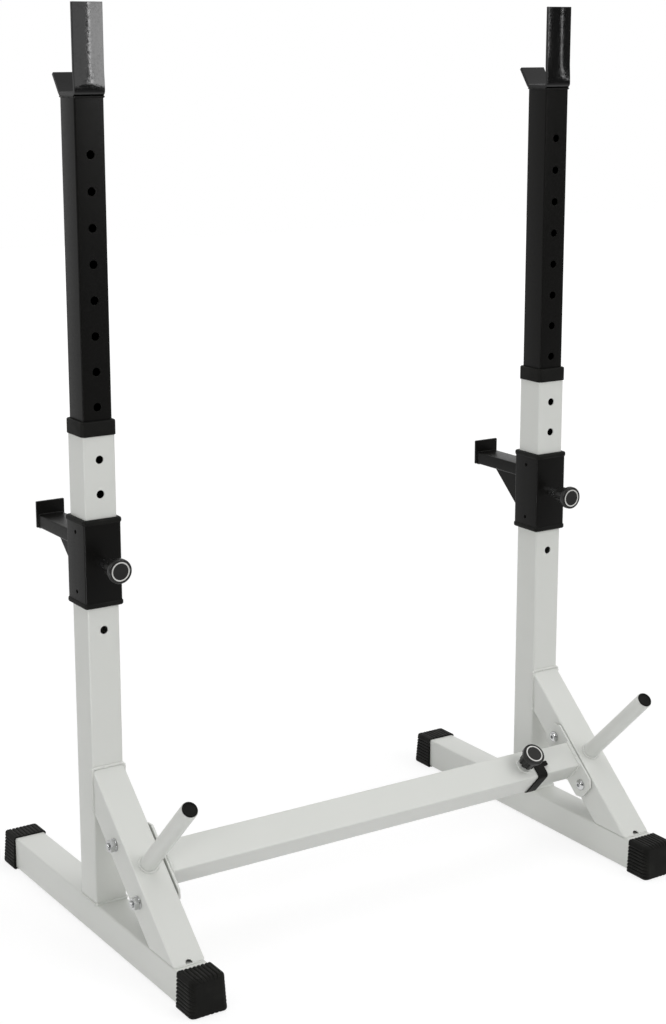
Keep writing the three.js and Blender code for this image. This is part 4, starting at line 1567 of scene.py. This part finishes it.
@dataclass(frozen=True)
class Lamp:
    """A soft area lamp that looks at a point of the stand."""

    name: str
    place: Place
    target: Place
    width: float
    height: float
    brightness: float
    lights: bool = True
    mirrored: bool = True

    def build(self) -> None:
        """Hangs the lamp."""
        data = bpy.data.lights.new(self.name, "AREA")
        data.shape = "RECTANGLE"
        data.size = self.width
        data.size_y = self.height
        data.energy = self.brightness * math.pi * self.width * self.height
        thing = bpy.data.objects.new(self.name, data)
        bpy.context.scene.collection.objects.link(thing)
        thing.visible_camera = False
        thing.visible_diffuse = self.lights
        thing.visible_glossy = self.mirrored
        thing.location = self.place
        thing.rotation_euler = (Vector(self.target) - Vector(self.place)).to_track_quat("-Z", "Y").to_euler()


@dataclass(frozen=True)
class Studio:
    """Camera, pale floor, white surroundings and soft lamps."""

    # The camera fitted to the photograph: focal length, size and centre in its pixels, angles in degrees
    focal: float = 1935.153
    image: Point = (666.0, 1024.0)
    centre: Point = (336.825, 461.931)
    eye: Place = (-1.58047, -2.434223, 1.298984)
    yaw: float = 33.047
    pitch: float = 12.295
    roll: float = -0.026
    sensor: float = 36.0
    view_end: float = 100.0
    ambient: float = 0.46
    # Lowest levels that shiny faces mirror in front and on the left, and where they start and end: along the
    # direction in the surroundings, and along the place on the floor
    dark_front: float = 0.13
    dim_left: float = 0.62
    sky_front: Point = (-0.7, -0.1)
    sky_left: Point = (-0.45, -0.25)
    floor_front: Point = (-2.5, -0.3)
    floor_left: Point = (-0.7, -0.45)
    floor_half: float = 9.0
    glow: float = 0.8
    glow_reach: Point = (2.0, 7.0)
    # Each lamp's name, place, target, width, height and brightness
    lamps: tuple[Lamp, ...] = (
        Lamp("key", (4.5, -8.0, 7.0), (0, 0, 0.6), 6.0, 4.6, 3.7),
        Lamp("overhead", (0, 0.3, 5.0), (0, 0.3, 0), 4.0, 4.0, 1.4, mirrored=False),
        Lamp("left_fill", (-9.0, -5.5, 1.8), (0, 0, 0.7), 0.7, 3.6, 24.5, mirrored=False),
        Lamp("left_card_high", (-4.5, -0.7, 3.4), (0, 0, 0.3), 1.8, 1.6, 9.0, lights=False),
        Lamp("left_card_low", (-1.9, -0.8, 0.02), (-1.9, -0.8, 2.0), 1.6, 0.6, 9.0, lights=False),
        Lamp("cup_card_dim", (-0.03, -1.5, 1.315), (-0.4, 0, 1.315), 0.54, 0.24, 1.8, lights=False),
        Lamp("cup_card_edge", (0.335, -1.5, 1.315), (-0.4, 0, 1.315), 0.04, 0.24, 14.0, lights=False),
        Lamp("cup_card", (0.71, -1.5, 1.315), (-0.4, 0, 1.315), 0.66, 0.24, 7.5, lights=False),
        Lamp("cup_card_right", (1.75, -1.5, 1.315), (0.4, 0, 1.315), 0.04, 0.24, 10.0, lights=False),
    )

    def camera(self) -> None:
        """Sets up the camera from the fit to the photograph."""
        data = bpy.data.cameras.new("camera")
        wide, tall = self.image
        data.sensor_width = self.sensor
        data.sensor_fit = "AUTO"
        data.lens = self.focal / tall * self.sensor
        data.shift_x = (wide / 2 - self.centre[0]) / tall
        data.shift_y = (self.centre[1] - tall / 2) / tall
        data.clip_end = self.view_end
        yaw, pitch = math.radians(self.yaw), math.radians(self.pitch)
        ahead = Vector((math.sin(yaw) * math.cos(pitch), math.cos(yaw) * math.cos(pitch), -math.sin(pitch)))
        right = Vector((math.cos(yaw), -math.sin(yaw), 0))
        axes = Matrix((right, right.cross(ahead), -ahead)).transposed().to_4x4()
        thing = bpy.data.objects.new("camera", data)
        thing.matrix_world = at(*self.eye) @ axes @ turn(self.roll, "Z")
        bpy.context.scene.collection.objects.link(thing)
        bpy.context.scene.camera = thing

    def seen(self, tree: Tree) -> Socket:
        """Returns a socket that is 1 for rays from the camera or from metal and glass, and else 0."""
        path = add_node(tree, "LightPath").outputs
        shine = maths(tree, "MAXIMUM", path["Is Glossy Ray"], path["Is Transmission Ray"])
        return maths(tree, "MAXIMUM", shine, path["Is Camera Ray"])

    def shown_level(self, tree: Tree, place: Socket, front: Point, left: Point) -> Socket:
        """Adds the level that the camera or a shiny face sees: full, or for mirrored light darker in front.

        Args:
            tree: The node tree.
            place: Position or direction to read.
            front: Along Y, where the level is lowest and from where on it is full.
            left: Along X, where the left side is dimmest and from where on it isn't dimmed.

        Returns:
            The level.
        """
        axes = add_node(tree, "SeparateXYZ", {}, {"Vector": place}).outputs
        fades = [add_node(tree, "MapRange", {"interpolation_type": "SMOOTHSTEP"},
                          {"Value": axes[axis], "From Min": ends[0], "From Max": ends[1], "To Min": lowest,
                           "To Max": 1.0}).outputs["Result"]
                 for axis, ends, lowest in (("Y", front, self.dark_front), ("X", left, self.dim_left))]
        viewed = add_node(tree, "LightPath").outputs["Is Camera Ray"]
        return maths(tree, "MAXIMUM", viewed, maths(tree, "MULTIPLY", *fades))

    def world(self) -> None:
        """Sets white surroundings for what is seen or mirrored, and a plain grey level of light."""
        world = bpy.data.worlds.new("studio")
        bpy.context.scene.world = world
        world.use_nodes = True
        tree = world.node_tree
        tree.nodes.clear()
        # The room is white round the stand, and only greyer where the lamps and the photographer stand
        around = add_node(tree, "TexCoord").outputs["Generated"]
        shown = self.shown_level(tree, around, self.sky_front, self.sky_left)
        level = add_node(tree, "Mix", {}, {"Factor": self.seen(tree), "A": self.ambient, "B": shown})
        sky = add_node(tree, "Background", {}, {"Color": linear("ffffff"),
                                                "Strength": level.outputs["Result"]})
        add_node(tree, "OutputWorld", {}, {"Surface": sky.outputs["Background"]})

    def floor(self) -> None:
        """Lays the pale floor, which keeps the stand's soft shadow and is white where it is plainly lit."""
        shape = bmesh.new()
        bmesh.ops.create_grid(shape, x_segments=1, y_segments=1, size=self.floor_half)
        thing = holder(shape, "floor")
        material, tree, place = new_material("matt_studio_floor")
        # The floor's own white rises with distance, so that it meets the white background without a line
        far = add_node(tree, "VectorMath", {"operation": "LENGTH"}, {0: place}).outputs["Value"]
        shown = self.shown_level(tree, place, self.floor_front, self.floor_left)
        level = maths(tree, "MULTIPLY", spread(tree, far, self.glow, 1.0, *self.glow_reach), shown)
        plain = add_node(tree, "BsdfDiffuse", {}, {"Color": linear("e6e6e6")}).outputs[0]
        shaded = add_node(tree, "BsdfDiffuse", {}, {"Color": linear("8c8c8c")}).outputs[0]
        glow = add_node(tree, "Emission", {}, {"Color": linear("ffffff"), "Strength": level}).outputs[0]
        bright = add_node(tree, "AddShader", {}, {0: shaded, 1: glow}).outputs[0]
        mixed = add_node(tree, "MixShader", {}, {0: self.seen(tree), 1: plain, 2: bright}).outputs[0]
        add_node(tree, "OutputMaterial", {}, {"Surface": mixed})
        thing.data.materials.append(material)

    def build(self) -> None:
        """Builds the whole studio."""
        bpy.context.scene.view_settings.view_transform = "Standard"
        self.camera()
        self.world()
        self.floor()
        for lamp in self.lamps:
            lamp.build()


def main() -> None:
    """Builds the finishes, the stand and the studio."""
    logging.basicConfig(level=logging.INFO, format="%(message)s")
    finishes = Finishes.build()
    for side in Side:
        tag = side.tag
        BaseFrame(finishes, f"{tag}_frame", side).build()
        Post(finishes, f"{tag}_post", side).build()
        carriage = Carriage(finishes, f"{tag}_carriage", side)
        carriage.build()
        seat = LAYOUT.axis(side) @ at(0, -carriage.sleeve_width / 2, carriage.pin_height) @ turn(90, "X")
        Plunger(finishes, f"{tag}_pin", tag, f"{tag}_carriage", seat).build()
    crossbar = Crossbar(finishes, "left_frame")
    crossbar.build()
    seat = crossbar.place @ at(crossbar.pin_x, 0, crossbar.boss_height)
    Plunger(finishes, "crossbar_pin", "crossbar", "left_frame", seat, crossbar.knob_gap,
            crossbar.pin_travel).build()
    Studio().build()


if __name__ == "__main__":
    main()
